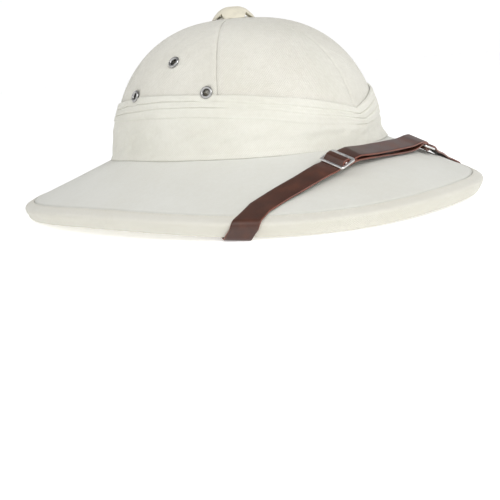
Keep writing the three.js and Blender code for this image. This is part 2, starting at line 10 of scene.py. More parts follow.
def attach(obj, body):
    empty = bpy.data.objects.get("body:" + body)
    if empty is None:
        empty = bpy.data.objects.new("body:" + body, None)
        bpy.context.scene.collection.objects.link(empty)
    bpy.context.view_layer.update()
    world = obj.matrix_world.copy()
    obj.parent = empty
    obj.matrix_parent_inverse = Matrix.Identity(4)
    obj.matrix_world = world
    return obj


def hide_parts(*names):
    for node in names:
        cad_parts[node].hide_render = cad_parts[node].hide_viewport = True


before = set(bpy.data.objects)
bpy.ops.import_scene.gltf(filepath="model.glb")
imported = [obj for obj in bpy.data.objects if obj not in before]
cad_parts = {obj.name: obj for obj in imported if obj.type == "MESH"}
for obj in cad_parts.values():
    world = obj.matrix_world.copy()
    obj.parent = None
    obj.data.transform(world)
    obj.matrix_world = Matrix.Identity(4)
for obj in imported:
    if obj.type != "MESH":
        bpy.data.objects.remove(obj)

bl_info = {
    "name": "Pith Helmet",
    "version": (1, 0, 0),
    "blender": (4, 5, 0),
    "location": "View3D > Sidebar > Hat",
    "description": "Builds a cloth-covered pith helmet around its packed frame",
    "category": "Add Mesh",
}

MM = 0.001
TAU = 2 * math.pi
SIDES = {"right": 1, "left": -1}

# Camera, fitted to the photograph: where it stands, and the pixel that the middle of the hat falls on
VIEW = {"azimuth": 48.35, "elevation": 11.91, "roll": -4.92, "distance": 759.4, "focal": 941.13}
AIM_PIXEL = (239.69, 118.04)
AIM_HEIGHT = 66.5
PHOTO_SIDE = 500
SENSOR = 36

# Studio light; the world's stops are (height of the direction, brightness), behind and before the hat
WORLD_STRENGTH = 1.02
BEHIND_STOPS = [(0.1, (1.0, 1.0, 1.0)), (0.75, (0.3, 0.3, 0.31))]
FRONT_STOPS = [(z, (v, v, v)) for z, v in ((0.05, 0.42), (0.35, 0.8), (0.6, 1.05), (0.88, 0.3))]
LIGHTS = {
    "key": {"azimuth": 14.0, "elevation": 36.0, "reach": 1.8, "side": 0.9, "power": 12.4},
    "fill": {"azimuth": 84.0, "elevation": 38.0, "reach": 2.0, "side": 1.2, "power": 5.2},
}
LIGHT_AIM = 0.08

# The hat's own shape in millimetres: band foot, crown, brim and rim, as front, rear and side
FOOT = {"side": 100.5, "front": 116.5, "rear": 118.0}
FOOT_HEIGHT = {"side": 46.5, "front": 46.0, "rear": 39.5}
CROWN_SCALE = 0.96
CROWN_TOP = 144.5
APEX_SHIFT = -3.5
DOME = {"side": (2.1, 2.9), "front": (2.0, 2.2), "rear": (2.0, 2.45)}
RIM = {"side": 161.0, "front": 188.0, "rear": 194.5}
RIM_HEIGHT = {"side": 15.2, "front": 11.4, "rear": 11.4}
RIM_SQUARENESS = 0.02
RIM_WAVE = 1.4
RIM_THICKNESS = 11.9
BINDING_WIDTH = 9.6
LEAN = 0.00302
LIFT = -0.152
CENTRE_SHIFT = (RIM["front"] - RIM["rear"]) / 2
LOWEST_RISE = -0.3

# Crown panels by angle from the front, and how far up the crown they reach
PANELS = {"front": (0.0, 62.5), "side": (62.5, 120.0), "rear": (120.0, 180.0)}
CROWN_FOOT_RISE = 0.03
VENT_RISE = 0.9985
PANEL_THICKNESS = 1.2
# A seam's half gap, the width of its dip, and the soft swell beside it as (height, distance, width)
SEAM = {"gap": 0.12, "dip": 1.1, "swell": (0.12, 3.6, 1.6), "pucker": 0.1, "pucker_reach": 5}
# Cloth drawn up round the vent hole, under the cap
COLLAR = {"height": 2.6, "inner": 10.5, "outer": 14.5}

# Brim cloth, and the moulded body below all the covers
BRIM_CLOTH = 1.0
BODY = {"cover": 1.5, "wall": 9.5, "under": RIM_THICKNESS - 1.5, "tip": 1.7, "ripple": 0.15}

# Eyelets as (angle from the front, height, stand above the crown's cover)
EYELETS = {"front": (67.0, 92.3, 0.95), "top": (87.5, 115.2, 0.3), "rear": (108.0, 92.3, 0.95)}
HOLE_RADIUS = 3.75
DRILL_REACH = 20.0
# Rolled ring as (radius, height above its stand), and its tube as (radius, height)
ROLLED_RING = [
    (2.45, -0.2), (2.6, 0.4), (2.9, 0.8), (3.3, 1.05), (3.8, 1.05), (4.2, 0.8), (4.55, 0.4), (4.7, 0.05),
    (4.5, -0.12), (3.5, -0.05),
]
TUBE_TOP = [(2.4, -1.2)]
TUBE_FOOT = [(3.5, -10.8), (2.6, -10.8)]

# Section of the rim binding: inward from the rim's corner, and up from the brim's top
T = RIM_THICKNESS
BINDING_SECTION = [
    (9.6, -0.35), (9.3, 0.1), (8.6, 0.12), (7.9, 0.02), (6, 0.05), (3.2, 0), (1.4, -0.45), (0.4, -1.5),
    (0.05, -3.2), (0, -T / 2), (0.05, 3.2 - T), (0.4, 1.5 - T), (1.4, 0.45 - T), (3.2, -T), (6, -T),
    (8.8, -T), (9.5, 0.4 - T),
]
BINDING_CLOTH = {"edge": 1.4, "face": 1.2}
# A stitch as (share of the pitch, radius, rise)
STITCH = [
    (-0.36, 0.03, -0.12), (-0.3, 0.1, 0), (-0.1, 0.14, 0.04), (0.1, 0.14, 0.04), (0.3, 0.1, 0),
    (0.36, 0.03, -0.12),
]
STITCH_AT = 8.25
STITCH_RISE = 0.1
STITCH_SIDES = 6

# Lines of the band round the hat, by angle from the front: its top edge and the three pleats below it
BAND_LINES = {
    "angle": (0, 7, 19.5, 28, 40, 53, 62, 70, 77, 87, 96, 103.5, 112, 121, 135, 180),
    "top": (71.6, 74.8, 80.2, 83, 85.9, 88.9, 90.1, 90.9, 91.6, 92.2, 92.2, 91.8, 90.2, 88.4, 86.5, 84.5),
    "first": (66.9, 69.4, 73.9, 77, 80.8, 84, 85.4, 86.2, 86.9, 87.4, 87.3, 86.6, 85.2, 83.2, 81.6, 79.8),
    "second": (63.1, 65.0, 68.6, 71.6, 75.9, 79.6, 81.1, 82, 82.6, 82.9, 82.6, 81.6, 80.2, 78.3, 76.9, 75.4),
    "third": (58.6, 59.6, 61.9, 64.6, 68.9, 72.8, 74.3, 75.3, 76, 76.3, 76.1, 75.4, 74.5, 73.1, 72, 70.6),
}
# How far the band stands off the crown from its top edge (0) over the pleats (1 to 3) to its foot (4)
BAND_STAND = ([0, 0.12, 1, 2, 3, 3.2, 3.6, 3.85, 4], [0.7, 1.15, 1.25, 1.55, 1.75, 2.1, 2.0, 2.7, 3.6])
# Angle of the front crossing at the top edge and at each pleat
CROSSING = ([0, 1, 2, 3], [-0.5, -1.2, -4, -5.2])
HEM_HEIGHT = 2.2
# The band lies flat round the lower eyelets
PRESS = {"near": 5.2, "far": 9.5, "off": 0.8}

CAP = {
    "radius": 17.0, "height": 9.6, "wall": 1.3, "slot_height": 4.7, "slot_half": 5.5, "rearward": 1.0,
    "stand": -0.1,
}
CAP_PROFILE = [(0.0, 1.0), (0.2, 0.985), (0.36, 0.95), (0.62, 0.74), (0.82, 0.42), (0.94, 0.17), (1.0, 0.0)]

# Chin strap: the same path as the frame's, with rounded leather edges
STRAP_WIDTH = 15.8
STRAP_THICKNESS = 1.4
FOLD_THICKNESS = 0.9
BRIDGE_OUTER = [(-128, -113.2, 17), (-116, -113.9, 20.6), (-102, -117.2, 25.4), (-84, -123.6, 31.8)]
BUCKLE_CENTRE = (-54.6, -130, 41.8)
BUCKLE_HEADING = (0.955, -0.07, 0.29)
STRAIGHT = (-9, -6, -3, 0, 3, 6, 9)
BRIDGE_INNER = [(-28, -132, 43), (-14, -132.4, 42.2)]
BRIDGE_CENTRE = (0, -132.5, 41.8)
PITCH = {"brim": 18.5, "bridge": 21, "from": 70, "to": 84}
# The left slide lies lower than the right one
SAG = {"depth": 3.2, "along": (-12, 42, 68, 104), "behind": -90}
# Ways through the slides as (distance from the slide's middle, height, thickness)
H, F = STRAP_THICKNESS, FOLD_THICKNESS
OWN_END = [
    (-24, 0, H), (-15, -0.5, H), (-10.5, -1.4, H), (-8.4, -1.5, H), (-5.1, -1.5, H), (-2, 2.55, H),
    (2, 2.55, H), (5, -1.5, H), (8.6, -1.5, H), (17, 0.9, H), (24, 1.3, H),
]
FAR_END = [
    (27, 1.3, H), (17, 2.3, H), (9.5, 4, H), (4.2, 4, H), (1.3, 1.38, F), (-1, 1.36, F), (-1.7, 0.68, F),
    (-1.7, -0.68, F), (-1, -1.3, F), (1.3, -1.3, F), (4.4, 2.75, F), (9, 2.75, F), (14, 1.6, F),
]
# The right half lies over the left one: it rises by this much between the slides, and is flatter at its end
TOP_RISE = 1.3
FAR_OVER = [
    (27, 2.6, H), (17, 2.9, H), (9.5, 2.5, H), (4.2, 2.5, H), *FAR_END[4:10],
    (4.4, 1.28, F), (9, 1.28, F), (14, 1.2, F),
]
LONGEST_STEP = 2.5
WRAP = {
    "angle": 53.7, "slant": math.radians(34), "corner": 3.2, "per_radian": 186, "clear": 0.7, "from": -16,
    "to": 38, "shear": 13,
}
# Hidden way under the brim and up to the rivet as (place, direction of the leather's outer face)
UNDER = [
    ((-121, -76.8, 12.2), (0.4, 0.2, -1)), ((-113, -61.5, 18), (0.4, 0.2, -1)),
    ((-104, -46, 24.2), (0.42, 0.15, -1)), ((-94, -32, 29.3), (0.6, 0.1, -0.9)),
    ((-87, -21.5, 37), (0.9, 0, -0.55)), ((-83.8, -12.5, 46), (1, 0, -0.15)),
    ((-83.3, -5, 54), (1, 0.03, 0)), ((-82.5, 2.5, 61.5), (1, 0.05, 0.08)),
]
SLIDE = {"width": 20.3, "length": 15.8, "bar": 2.1, "thickness": 1.5, "middle": 1.8, "corner": 1.3}


# Numbers and curves


def unit(v):
    """Vectors of length one."""
    return v / np.maximum(np.linalg.norm(v, axis=-1, keepdims=True), 1e-12)


def circle(count):
    """Angles once round, without the last."""
    return np.linspace(0, TAU, count, endpoint=False)


def arc_length(line):
    """Distance along a line of points."""
    return np.concatenate([[0], np.cumsum(np.linalg.norm(np.diff(line, axis=0), axis=1))])


def bell(x, middle, width):
    """Smooth hill of height one."""
    return np.exp(-(((x - middle) / width) ** 2))


def soft_step(x, low, high):
    """Smooth rise from 0 to 1."""
    s = np.clip((x - low) / (high - low), 0, 1)
    return s * s * (3 - 2 * s)


def plateau(x, low, high, fall, end):
    """Smooth rise from 0 to 1, and back to 0 further on."""
    return soft_step(x, low, high) * (1 - soft_step(x, fall, end))


def spread(low, high, count, tight):
    """Values from low to high, packed closer at both ends."""
    x = np.linspace(-1, 1, count)
    y = np.tanh(tight * x) / np.tanh(tight)
    return low + (high - low) * (y + 1) / 2


def noise(x, y, seed, waves=None):
    """Smooth repeatable noise, about -1 to 1; with a number of waves it closes on itself round the hat."""
    rng = np.random.default_rng(seed)
    total = np.zeros(np.broadcast(x, y).shape)
    terms = 6
    for _ in range(terms):
        a, b = rng.normal(size=2)
        around = round(a * waves) if waves else a
        total = total + np.sin(around * x + b * y + rng.uniform(0, TAU)) / terms**0.5
    return total * 0.8


def ring_noise(t, waves, y, seed):
    """Noise by angle round the hat."""
    return noise(t, y, seed, waves)


def catmull(points, count):
    """Points along a smooth curve through the given ones."""
    p = np.array(points, float)
    p = np.concatenate([[2 * p[0] - p[1]], p, [2 * p[-1] - p[-2]]])
    out = []
    for q in np.linspace(0, len(p) - 3 - 1e-9, count):
        i = int(q)
        s = q - i
        a, b, c, d = p[i : i + 4]
        square = (2 * a - 5 * b + 4 * c - d) * s**2
        cube = (3 * b - a - 3 * c + d) * s**3
        out.append(0.5 * (2 * b + (c - a) * s + square + cube))
    return np.array(out)


def centripetal(points, q):
    """Point of a centripetal curve through the points; q runs from 0 to one less than their number."""
    p = np.asarray(points, float)
    i = min(int(q), len(p) - 2)
    w = q - i
    p1, p2 = p[i], p[i + 1]
    p0 = p[i - 1] if i > 0 else 2 * p[0] - p[1]
    p3 = p[i + 2] if i + 2 < len(p) else 2 * p[-1] - p[-2]
    d0, d1, d2 = (np.sum((b - a) ** 2) ** 0.25 for a, b in ((p0, p1), (p1, p2), (p2, p3)))
    d1 = d1 if d1 > 1e-4 else 1.0
    d0 = d0 if d0 > 1e-4 else d1
    d2 = d2 if d2 > 1e-4 else d1
    t1 = ((p1 - p0) / d0 - (p2 - p0) / (d0 + d1) + (p2 - p1) / d1) * d1
    t2 = ((p2 - p1) / d1 - (p3 - p1) / (d1 + d2) + (p3 - p2) / d2) * d1
    c2 = -3 * p1 + 3 * p2 - 2 * t1 - t2
    c3 = 2 * p1 - 2 * p2 + t1 + t2
    return p1 + t1 * w + c2 * w * w + c3 * w**3


# The hat's surfaces


def by_direction(t, table):
    """Blends a side value into the front or rear one; t runs from the front over the wearer's right."""
    c = np.cos(t)
    end = np.where(c > 0, table["front"], table["rear"])
    return table["side"] + (end - table["side"]) * c * c


def oval(t, table, scale=1.0):
    """Plan point of an oval with its own front and rear half lengths."""
    c = np.cos(t)
    along = np.where(c > 0, table["front"], table["rear"])
    return -table["side"] * scale * np.sin(t), -along * scale * c


def settle(p):
    """Sets a point of the hat level on its resting points and centres it over the origin, in metres."""
    q = np.array(p, float)
    q[..., 2] = np.maximum(q[..., 2] - LEAN * q[..., 1] + LIFT, 0.0)
    q[..., 1] += CENTRE_SHIFT
    return q * MM


def crown_surface(t, u):
    """Outer face of the crown's cover; u runs from the band's foot to the apex."""
    t, u = np.broadcast_arrays(np.asarray(t, float), np.clip(np.asarray(u, float), LOWEST_RISE, 1.0))
    rise = np.maximum(u, 0.0)

    def full(key):
        power, root = DOME[key]
        return (1 - rise**power) ** (1 / root)

    c = np.cos(t)
    along = np.where(c > 0, FOOT["front"] * full("front"), FOOT["rear"] * full("rear")) * CROWN_SCALE
    x = -FOOT["side"] * CROWN_SCALE * full("side") * np.sin(t)
    y = -along * c + APEX_SHIFT * u
    z = by_direction(t, FOOT_HEIGHT) * (1 - u) + CROWN_TOP * u
    return np.stack([x, y, z], -1)


def crown_normal(t, u):
    """Outward direction of the crown's surface."""
    step = 1e-4
    low = np.clip(np.asarray(u, float) - step, LOWEST_RISE, 1 - 3 * step)
    around = crown_surface(np.asarray(t) + step, low) - crown_surface(np.asarray(t) - step, low)
    up = crown_surface(t, low + 2 * step) - crown_surface(t, low)
    n = unit(np.cross(around, up))
    out = crown_surface(t, low) - np.array([0.0, 0.0, 30.0])
    return n * np.where(np.sum(n * out, -1, keepdims=True) < 0, -1.0, 1.0)


def crown_point(t, u, off):
    """Point at a distance off the crown's surface."""
    off = np.broadcast_to(np.asarray(off, float), np.shape(t))
    return crown_surface(t, u) + crown_normal(t, u) * off[..., None]


def rise_at(t, z):
    """Rise on the crown at a height above the rim."""
    foot = by_direction(t, FOOT_HEIGHT)
    return (z - foot) / (CROWN_TOP - foot)


def rim_corner(t):
    """Top corner of the rim."""
    wave = np.cos(4 * t) - 1
    x, y = oval(t, RIM, 1 - RIM_SQUARENESS * wave)
    return np.stack([x, y, by_direction(t, RIM_HEIGHT) + RIM_WAVE * wave], -1)


def brim_root(t):
    """Where the brim's top meets the crown."""
    x, y = oval(t, FOOT)
    return np.stack([x, y, by_direction(t, FOOT_HEIGHT)], -1)


def brim_length(t):
    """Width of the brim along its slope."""
    return np.linalg.norm(rim_corner(t) - brim_root(t), axis=-1)


def brim_point(t, inward, up):
    """Point of the brim, inward from the rim's top corner along the slope and up from its top face."""
    t, inward, up = np.broadcast_arrays(*(np.asarray(v, float) for v in (t, inward, up)))
    corner = rim_corner(t)
    out = unit(corner - brim_root(t))
    along = rim_corner(t + 1e-4) - rim_corner(t - 1e-4)
    n = unit(np.cross(along, out))
    n = n * np.where(n[..., 2:] < 0, -1.0, 1.0)
    return corner - out * inward[..., None] + n * up[..., None]


# Mesh helpers


def link_mesh(name, verts, faces, merge=None):
    """Makes a mesh object with its faces turned outward, and merges its close vertices where asked."""
    mesh = bpy.data.meshes.new(name)
    mesh.from_pydata([tuple(v) for v in verts], [], [tuple(int(i) for i in f) for f in faces])
    mesh.update()
    work = bmesh.new()
    work.from_mesh(mesh)
    if merge:
        bmesh.ops.remove_doubles(work, verts=work.verts, dist=merge)
    bmesh.ops.recalc_face_normals(work, faces=work.faces)
    work.to_mesh(mesh)
    work.free()
    obj = bpy.data.objects.new(name, mesh)
    bpy.context.scene.collection.objects.link(obj)
    return obj


def new_object(name, verts, faces, look, slot, replaced=(), second_look=None):
    """Makes a mesh piece that rides on the hat and stands for its CAD nodes."""
    obj = link_mesh(name, verts, faces)
    obj.data.polygons.foreach_set("use_smooth", [True] * len(obj.data.polygons))
    obj.data.materials.append(materials()[look])
    if second_look:
        obj.data.materials.append(materials()[second_look])
    if replaced:
        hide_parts(*replaced)
    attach(obj, "root")
    return obj


def grid_faces(rows, columns, close_rows=False, close_columns=False, start=0):
    """Quads of a grid of points stored row by row."""
    faces = []
    for i in range(rows if close_rows else rows - 1):
        for j in range(columns if close_columns else columns - 1):
            here, after = start + i * columns, start + (i + 1) % rows * columns
            k = (j + 1) % columns
            faces.append((here + j, after + j, after + k, here + k))
    return faces


def end_faces(rows, columns, start=0):
    """The two end faces of a tube whose rings are the rows."""
    last = start + (rows - 1) * columns
    return [tuple(range(start, start + columns)), tuple(range(last, last + columns))]


def skin_mesh(outer, inner, closed):
    """Vertices and faces of a closed skin between two grids of the same size."""
    rows, columns = outer.shape[:2]
    count = rows * columns
    verts = np.concatenate([outer.reshape(-1, 3), inner.reshape(-1, 3)])
    faces = grid_faces(rows, columns, close_rows=closed)
    faces += [tuple(reversed([i + count for i in f])) for f in faces]
    edges = []
    for i in range(rows if closed else rows - 1):
        k = (i + 1) % rows
        edges += [(i * columns + j, k * columns + j) for j in (0, columns - 1)]
    if not closed:
        for i in (0, rows - 1):
            edges += [(i * columns + j, i * columns + j + 1) for j in range(columns - 1)]
    return verts, faces + [(a, b, count + b, count + a) for a, b in edges]


def cloth_piece(node, look, outer, inner, closed=True):
    """Makes the cover of a CAD node from its two faces."""
    skin = skin_mesh(settle(outer), settle(inner), closed)
    return new_object(f"{node}_cloth", *skin, look, "cover_cloth", [node])


def turned_mesh(profile, segments):
    """Closed solid turned about +Z from a closed profile of (radius, height)."""
    angles = circle(segments)
    r, h = np.array(profile, float).T
    heights = np.tile(h, (segments, 1))
    points = np.stack([np.outer(np.cos(angles), r), np.outer(np.sin(angles), r), heights], -1)
    return points.reshape(-1, 3), grid_faces(segments, len(r), True, True)


def seat(verts, centre, x_axis, y_axis, z_axis):
    """Carries millimetre points from a local frame into the hat's frame."""
    basis = np.array([x_axis, y_axis, z_axis])
    return np.asarray(centre) + np.asarray(verts) @ basis


def crown_seat(verts, t, z):
    """Stands a piece on the crown at an angle and height, facing out."""
    u = rise_at(t, z)
    n = crown_normal(t, u)
    side = unit(np.cross(np.array([0.0, 0.0, 1.0]), n))
    return settle(seat(verts, crown_surface(t, u), side, np.cross(n, side), n))


def set_uv(obj, uv, lap=0.0):
    """Writes a weave map in metres from a pair for each vertex; lap is the length once round.

    The inner face of a skin takes the same map as its outer face.
    """
    uv = np.asarray(uv, float).reshape(-1, 2)
    if len(uv) < len(obj.data.vertices):
        uv = np.concatenate([uv, uv])
    layer = obj.data.uv_layers.new(name="weave")
    index = np.empty(len(obj.data.loops), dtype=np.int64)
    obj.data.loops.foreach_get("vertex_index", index)
    corners = uv[index]
    if lap:
        starts, totals = (np.empty(len(obj.data.polygons), dtype=np.int64) for _ in range(2))
        obj.data.polygons.foreach_get("loop_start", starts)
        obj.data.polygons.foreach_get("loop_total", totals)
        highest = np.repeat(np.maximum.reduceat(corners[:, 0], starts), totals)
        corners[:, 0] += np.where(highest - corners[:, 0] > lap / 2, lap, 0.0)
    layer.data.foreach_set("uv", corners.ravel())


def wrap_uv(obj, t, across, radius):
    """Weave map round the hat: angle times a mean radius, and distance across."""
    set_uv(obj, np.stack(np.broadcast_arrays(t * radius, across), -1) * MM, TAU * radius * MM)


def cut_eyelet_holes(obj, sides):
    """Cuts the eyelets' holes through a piece and removes the tools."""
    drills = []
    for side in sides:
        for angle, z, _ in EYELETS.values():
            ends = [(0.001, 0), (HOLE_RADIUS, 0), (HOLE_RADIUS, 1), (0.001, 1)]
            verts, faces = turned_mesh([(r, DRILL_REACH * (2 * end - 1)) for r, end in ends], 24)
            drills.append(link_mesh("drill", crown_seat(verts, side * math.radians(angle), z), faces, 1e-5))
    for drill in drills:
        m = obj.modifiers.new("hole", "BOOLEAN")
        m.operation = "DIFFERENCE"
        m.solver = "EXACT"
        m.object = drill
    bpy.context.view_layer.update()
    evaluated = obj.evaluated_get(bpy.context.evaluated_depsgraph_get())
    mesh = bpy.data.meshes.new_from_object(evaluated)
    obj.modifiers.clear()
    obj.data = mesh
    for drill in drills:
        bpy.data.objects.remove(drill)


# Materials


def node_tree(name):
    """A new material, its emptied node tree and its shader."""
    m = bpy.data.materials.new(name)
    m.use_nodes = True
    tree = m.node_tree
    tree.nodes.clear()
    out = tree.nodes.new("ShaderNodeOutputMaterial")
    shader = tree.nodes.new("ShaderNodeBsdfPrincipled")
    tree.links.new(shader.outputs[0], out.inputs[0])
    return m, tree, shader


def add(tree, kind, inputs=None, **settings):
    """Adds a node, sets its properties and its inputs, which may be values or sockets."""
    n = tree.nodes.new(kind)
    for key, value in settings.items():
        setattr(n, key, value)
    for key, value in (inputs or {}).items():
        if isinstance(value, bpy.types.NodeSocket):
            tree.links.new(value, n.inputs[key])
        else:
            n.inputs[key].default_value = value
    return n


def math_node(tree, operation, a, b=0.0):
    """Result of a sum on sockets or values."""
    return add(tree, "ShaderNodeMath", {0: a, 1: b}, operation=operation).outputs[0]


def noise_node(tree, place, scale, detail, roughness=0.5):
    """Value of a noise texture."""
    inputs = {"Vector": place, "Scale": scale, "Detail": detail, "Roughness": roughness}
    return add(tree, "ShaderNodeTexNoise", inputs).outputs[0]


def weighted_sum(tree, *parts):
    """Sum of sockets, each times its share."""
    products = [math_node(tree, "MULTIPLY", socket, share) for socket, share in parts]
    total = products[0]
    for product in products[1:]:
        total = math_node(tree, "ADD", total, product)
    return total


def ramp(tree, factor, stops):
    """Colour ramp from a list of (position, colour)."""
    n = add(tree, "ShaderNodeValToRGB", {0: factor})
    elements = n.color_ramp.elements
    while len(elements) < len(stops):
        elements.new(0.5)
    for e, (position, colour) in zip(elements, stops):
        e.position = position
        e.color = (*colour, 1.0)
    return n.outputs[0]


def dress(tree, shader, colour, rough, height, bump, depth):
    """Plugs in a surface's colour, its roughness as (socket, share, least), and its relief."""
    tree.links.new(colour, shader.inputs["Base Color"])
    roughness = add(tree, "ShaderNodeMath", dict(enumerate(rough)), operation="MULTIPLY_ADD")
    tree.links.new(roughness.outputs[0], shader.inputs["Roughness"])
    bumped = add(tree, "ShaderNodeBump", {"Height": height, "Strength": bump, "Distance": depth})
    tree.links.new(bumped.outputs[0], shader.inputs["Normal"])


def shaded(colour, share):
    """A colour times a share."""
    return tuple(c * share for c in colour)


def srgb(r, g, b):
    """Linear colour from 8-bit display values."""
    shares = (v / 255 for v in (r, g, b))
    return tuple(((v + 0.055) / 1.055) ** 2.4 if v > 0.04045 else v / 12.92 for v in shares)


def cloth_material(name, base, pitch, bump, soil=0.06, diagonal=True, edge_shade=0.0):
    """Cotton twill: diagonal ribs with slubs, soft stains and a felted sheen.

    The weave follows the UV map in metres; pitch is its rib spacing in millimetres. A share for the rim's
    edge darkens and yellows the binding past its top strip as painted shade.
    """
    m, tree, shader = node_tree(name)
    coords = add(tree, "ShaderNodeTexCoord").outputs
    uv, place = coords["UV"], coords["Object"]
    separate = add(tree, "ShaderNodeSeparateXYZ", {0: uv})
    u, v = separate.outputs[0], separate.outputs[1]
    turn = TAU / (pitch * MM)
    wobble = noise_node(tree, uv, 220.0, 2.0)
    along = math_node(tree, "ADD", u, v) if diagonal else u
    rib = math_node(tree, "SINE", weighted_sum(tree, (along, turn), (wobble, 2.6)))
    weft, warp = (math_node(tree, "SINE", math_node(tree, "MULTIPLY", way, turn * 1.9)) for way in (v, u))
    weave = math_node(tree, "MULTIPLY", weft, warp)
    fibre = noise_node(tree, place, 1500.0, 3.0)
    cloud = noise_node(tree, place, 14.0, 4.0, 0.55)
    slub = noise_node(tree, place, 320.0, 2.0)
    height = weighted_sum(tree, (rib, 0.55), (weave, 0.35), (fibre, 0.9))
    tone = weighted_sum(tree, (cloud, 0.65), (slub, 0.25), (rib, 0.09), (weave, 0.15))
    dark = shaded((base[0], base[1] * 0.99, base[2] * 0.96), 1 - soil)
    light = tuple(min(c, 1.0) for c in shaded(base, 1 + soil * 0.45))
    colour = ramp(tree, tone, [(0.3, dark), (0.52, base), (0.7, light)])
    # Painted shade: from the rim's rounded top corner on, over its edge face and underside, the binding is
    # darkened and yellowed by this share
    if edge_shade:
        past_edge = math_node(tree, "MULTIPLY", v, 50.0)
        wear_and_shade = (1 - edge_shade, 1 - edge_shade, 1 - 1.12 * edge_shade)
        painted_edge_shade = ramp(tree, past_edge, [(0.4, (1, 1, 1)), (0.52, wear_and_shade)])
        mixed = {0: 1.0, 1: colour, 2: painted_edge_shade}
        colour = add(tree, "ShaderNodeMixRGB", mixed, blend_type="MULTIPLY").outputs[0]
    dress(tree, shader, colour, (slub, 0.1, 0.84), height, bump, 0.00022)
    shader.inputs["Sheen Weight"].default_value = 0.25
    shader.inputs["Sheen Roughness"].default_value = 0.5
    shader.inputs["Specular IOR Level"].default_value = 0.25
    return m


def leather_material(name, base, wear_and_shade):
    """Smooth strap leather: fine creased grain, rubbed lighter on its high spots, with a soft polish."""
    m, tree, shader = node_tree(name)
    place = add(tree, "ShaderNodeTexCoord").outputs["Object"]
    cells = {"Vector": place, "Scale": 900.0}
    grain = add(tree, "ShaderNodeTexVoronoi", cells, feature="DISTANCE_TO_EDGE").outputs[0]
    pores = noise_node(tree, place, 2400.0, 3.0)
    cloud = noise_node(tree, place, 70.0, 5.0, 0.6)
    colour = ramp(tree, cloud, [(0.3, shaded(base, 0.6)), (0.55, base), (0.78, wear_and_shade)])
    height = weighted_sum(tree, (grain, 0.8), (pores, 0.5))
    dress(tree, shader, colour, (cloud, 0.3, 0.24), height, 0.18, 0.0002)
    shader.inputs["Coat Weight"].default_value = 0.2
    shader.inputs["Coat Roughness"].default_value = 0.32
    return m


def metal_material(name, base, rough):
    """Nickel plate with faint scratches and tarnish."""
    m, tree, shader = node_tree(name)
    place = add(tree, "ShaderNodeTexCoord").outputs["Object"]
    scratch = noise_node(tree, place, 1800.0, 3.0)
    colour = ramp(tree, noise_node(tree, place, 260.0, 5.0), [(0.3, shaded(base, 0.72)), (0.6, base)])
    dress(tree, shader, colour, (scratch, 0.22, rough), scratch, 0.05, 0.0001)
    shader.inputs["Metallic"].default_value = 1.0
    return m


def paint_material(name, base):
    """Satin cream paint with a faint brush texture and soft dirty patches."""
    m, tree, shader = node_tree(name)
    place = add(tree, "ShaderNodeTexCoord").outputs["Object"]
    brushed = noise_node(tree, place, 900.0, 2.0)
    colour = ramp(tree, noise_node(tree, place, 130.0, 5.0), [(0.28, shaded(base, 0.84)), (0.55, base)])
    dress(tree, shader, colour, (brushed, 0.2, 0.34), brushed, 0.2, 0.0002)
    return m


MATERIALS = {}


def materials():
    """All of the hat's materials, made once."""
    if not MATERIALS:
        look = bpy.context.scene.hat_look
        MATERIALS.update(
            crown=cloth_material("crown_twill", look.cover_colour, 1.7, 0.9, soil=0.13),
            brim=cloth_material("brim_twill", look.brim_colour, 1.5, 0.5),
            # The binding carries painted shade on its edge face and underside
            binding=cloth_material("binding_twill", look.cover_colour, 1.5, 0.8, edge_shade=0.11),
            band=cloth_material("band_cotton", look.band_colour, 1.6, 0.7, soil=0.09),
            lining=cloth_material("under_cloth", look.under_colour, 1.3, 0.5, diagonal=False),
            thread=cloth_material("sewing_thread", look.thread_colour, 0.25, 0.4),
            leather=leather_material("strap_leather", look.leather_colour, look.leather_worn),
            edge=leather_material("leather_edge", look.edge_colour, look.edge_colour),
            nickel=metal_material("nickel_plate", look.nickel_colour, 0.2),
            eyelet=metal_material("eyelet_nickel", shaded(look.nickel_colour, 0.5), 0.18),
            paint=paint_material("cap_paint", look.paint_colour),
        )
    return MATERIALS


def colour_property(label, text, value):
    return bpy.props.FloatVectorProperty(
        name=label, description=text, default=value, size=3, subtype="COLOR", min=0.0, max=1.0
    )


def length_property(label, text, value):
    return bpy.props.FloatProperty(
        name=label, description=text, default=value, unit="LENGTH", subtype="DISTANCE"
    )


class HatLook(bpy.types.PropertyGroup):
    """Colours and sizes of the hat that a user may change."""

    cover_colour: colour_property("Cover", "Cream twill of the crown and rim", srgb(229, 227, 217))
    brim_colour: colour_property("Brim", "Cloth of the brim's top", srgb(223, 223, 216))
    band_colour: colour_property("Band", "Cloth of the wrapped band", srgb(230, 229, 219))
    under_colour: colour_property("Underside", "Cloth under the brim and in the crown", srgb(206, 202, 184))
    thread_colour: colour_property("Thread", "Sewing thread of the seams", srgb(219, 216, 203))
    leather_colour: colour_property("Leather", "Grain side of the chin strap", srgb(72, 37, 22))
    leather_worn: colour_property("Worn leather", "Rubbed places of the chin strap", srgb(94, 50, 30))
    edge_colour: colour_property("Leather edge", "Cut edges of the chin strap", srgb(128, 72, 56))
    nickel_colour: colour_property("Nickel", "Plate of the buckles and eyelets", (0.93, 0.925, 0.91))
    paint_colour: colour_property("Cap paint", "Paint of the vent cap", srgb(228, 222, 203))
    seam_depth: length_property("Seam depth", "How far the crown's seams sink in", 0.0005)
    stitch_pitch: length_property("Stitch pitch", "From one rim stitch to the next", 0.0034)
    wrinkle_height: length_property("Wrinkle height", "Height of the band's soft wrinkles", 0.0006)
    floor_side: length_property("Floor side", "Side of the studio floor", 9.0)


# Operators


def toward(azimuth, elevation):
    """Direction at an angle from the front over the wearer's right, and an angle up."""
    az, el = math.radians(azimuth), math.radians(elevation)
    return np.array([-math.sin(az) * math.cos(el), -math.cos(az) * math.cos(el), math.sin(el)])


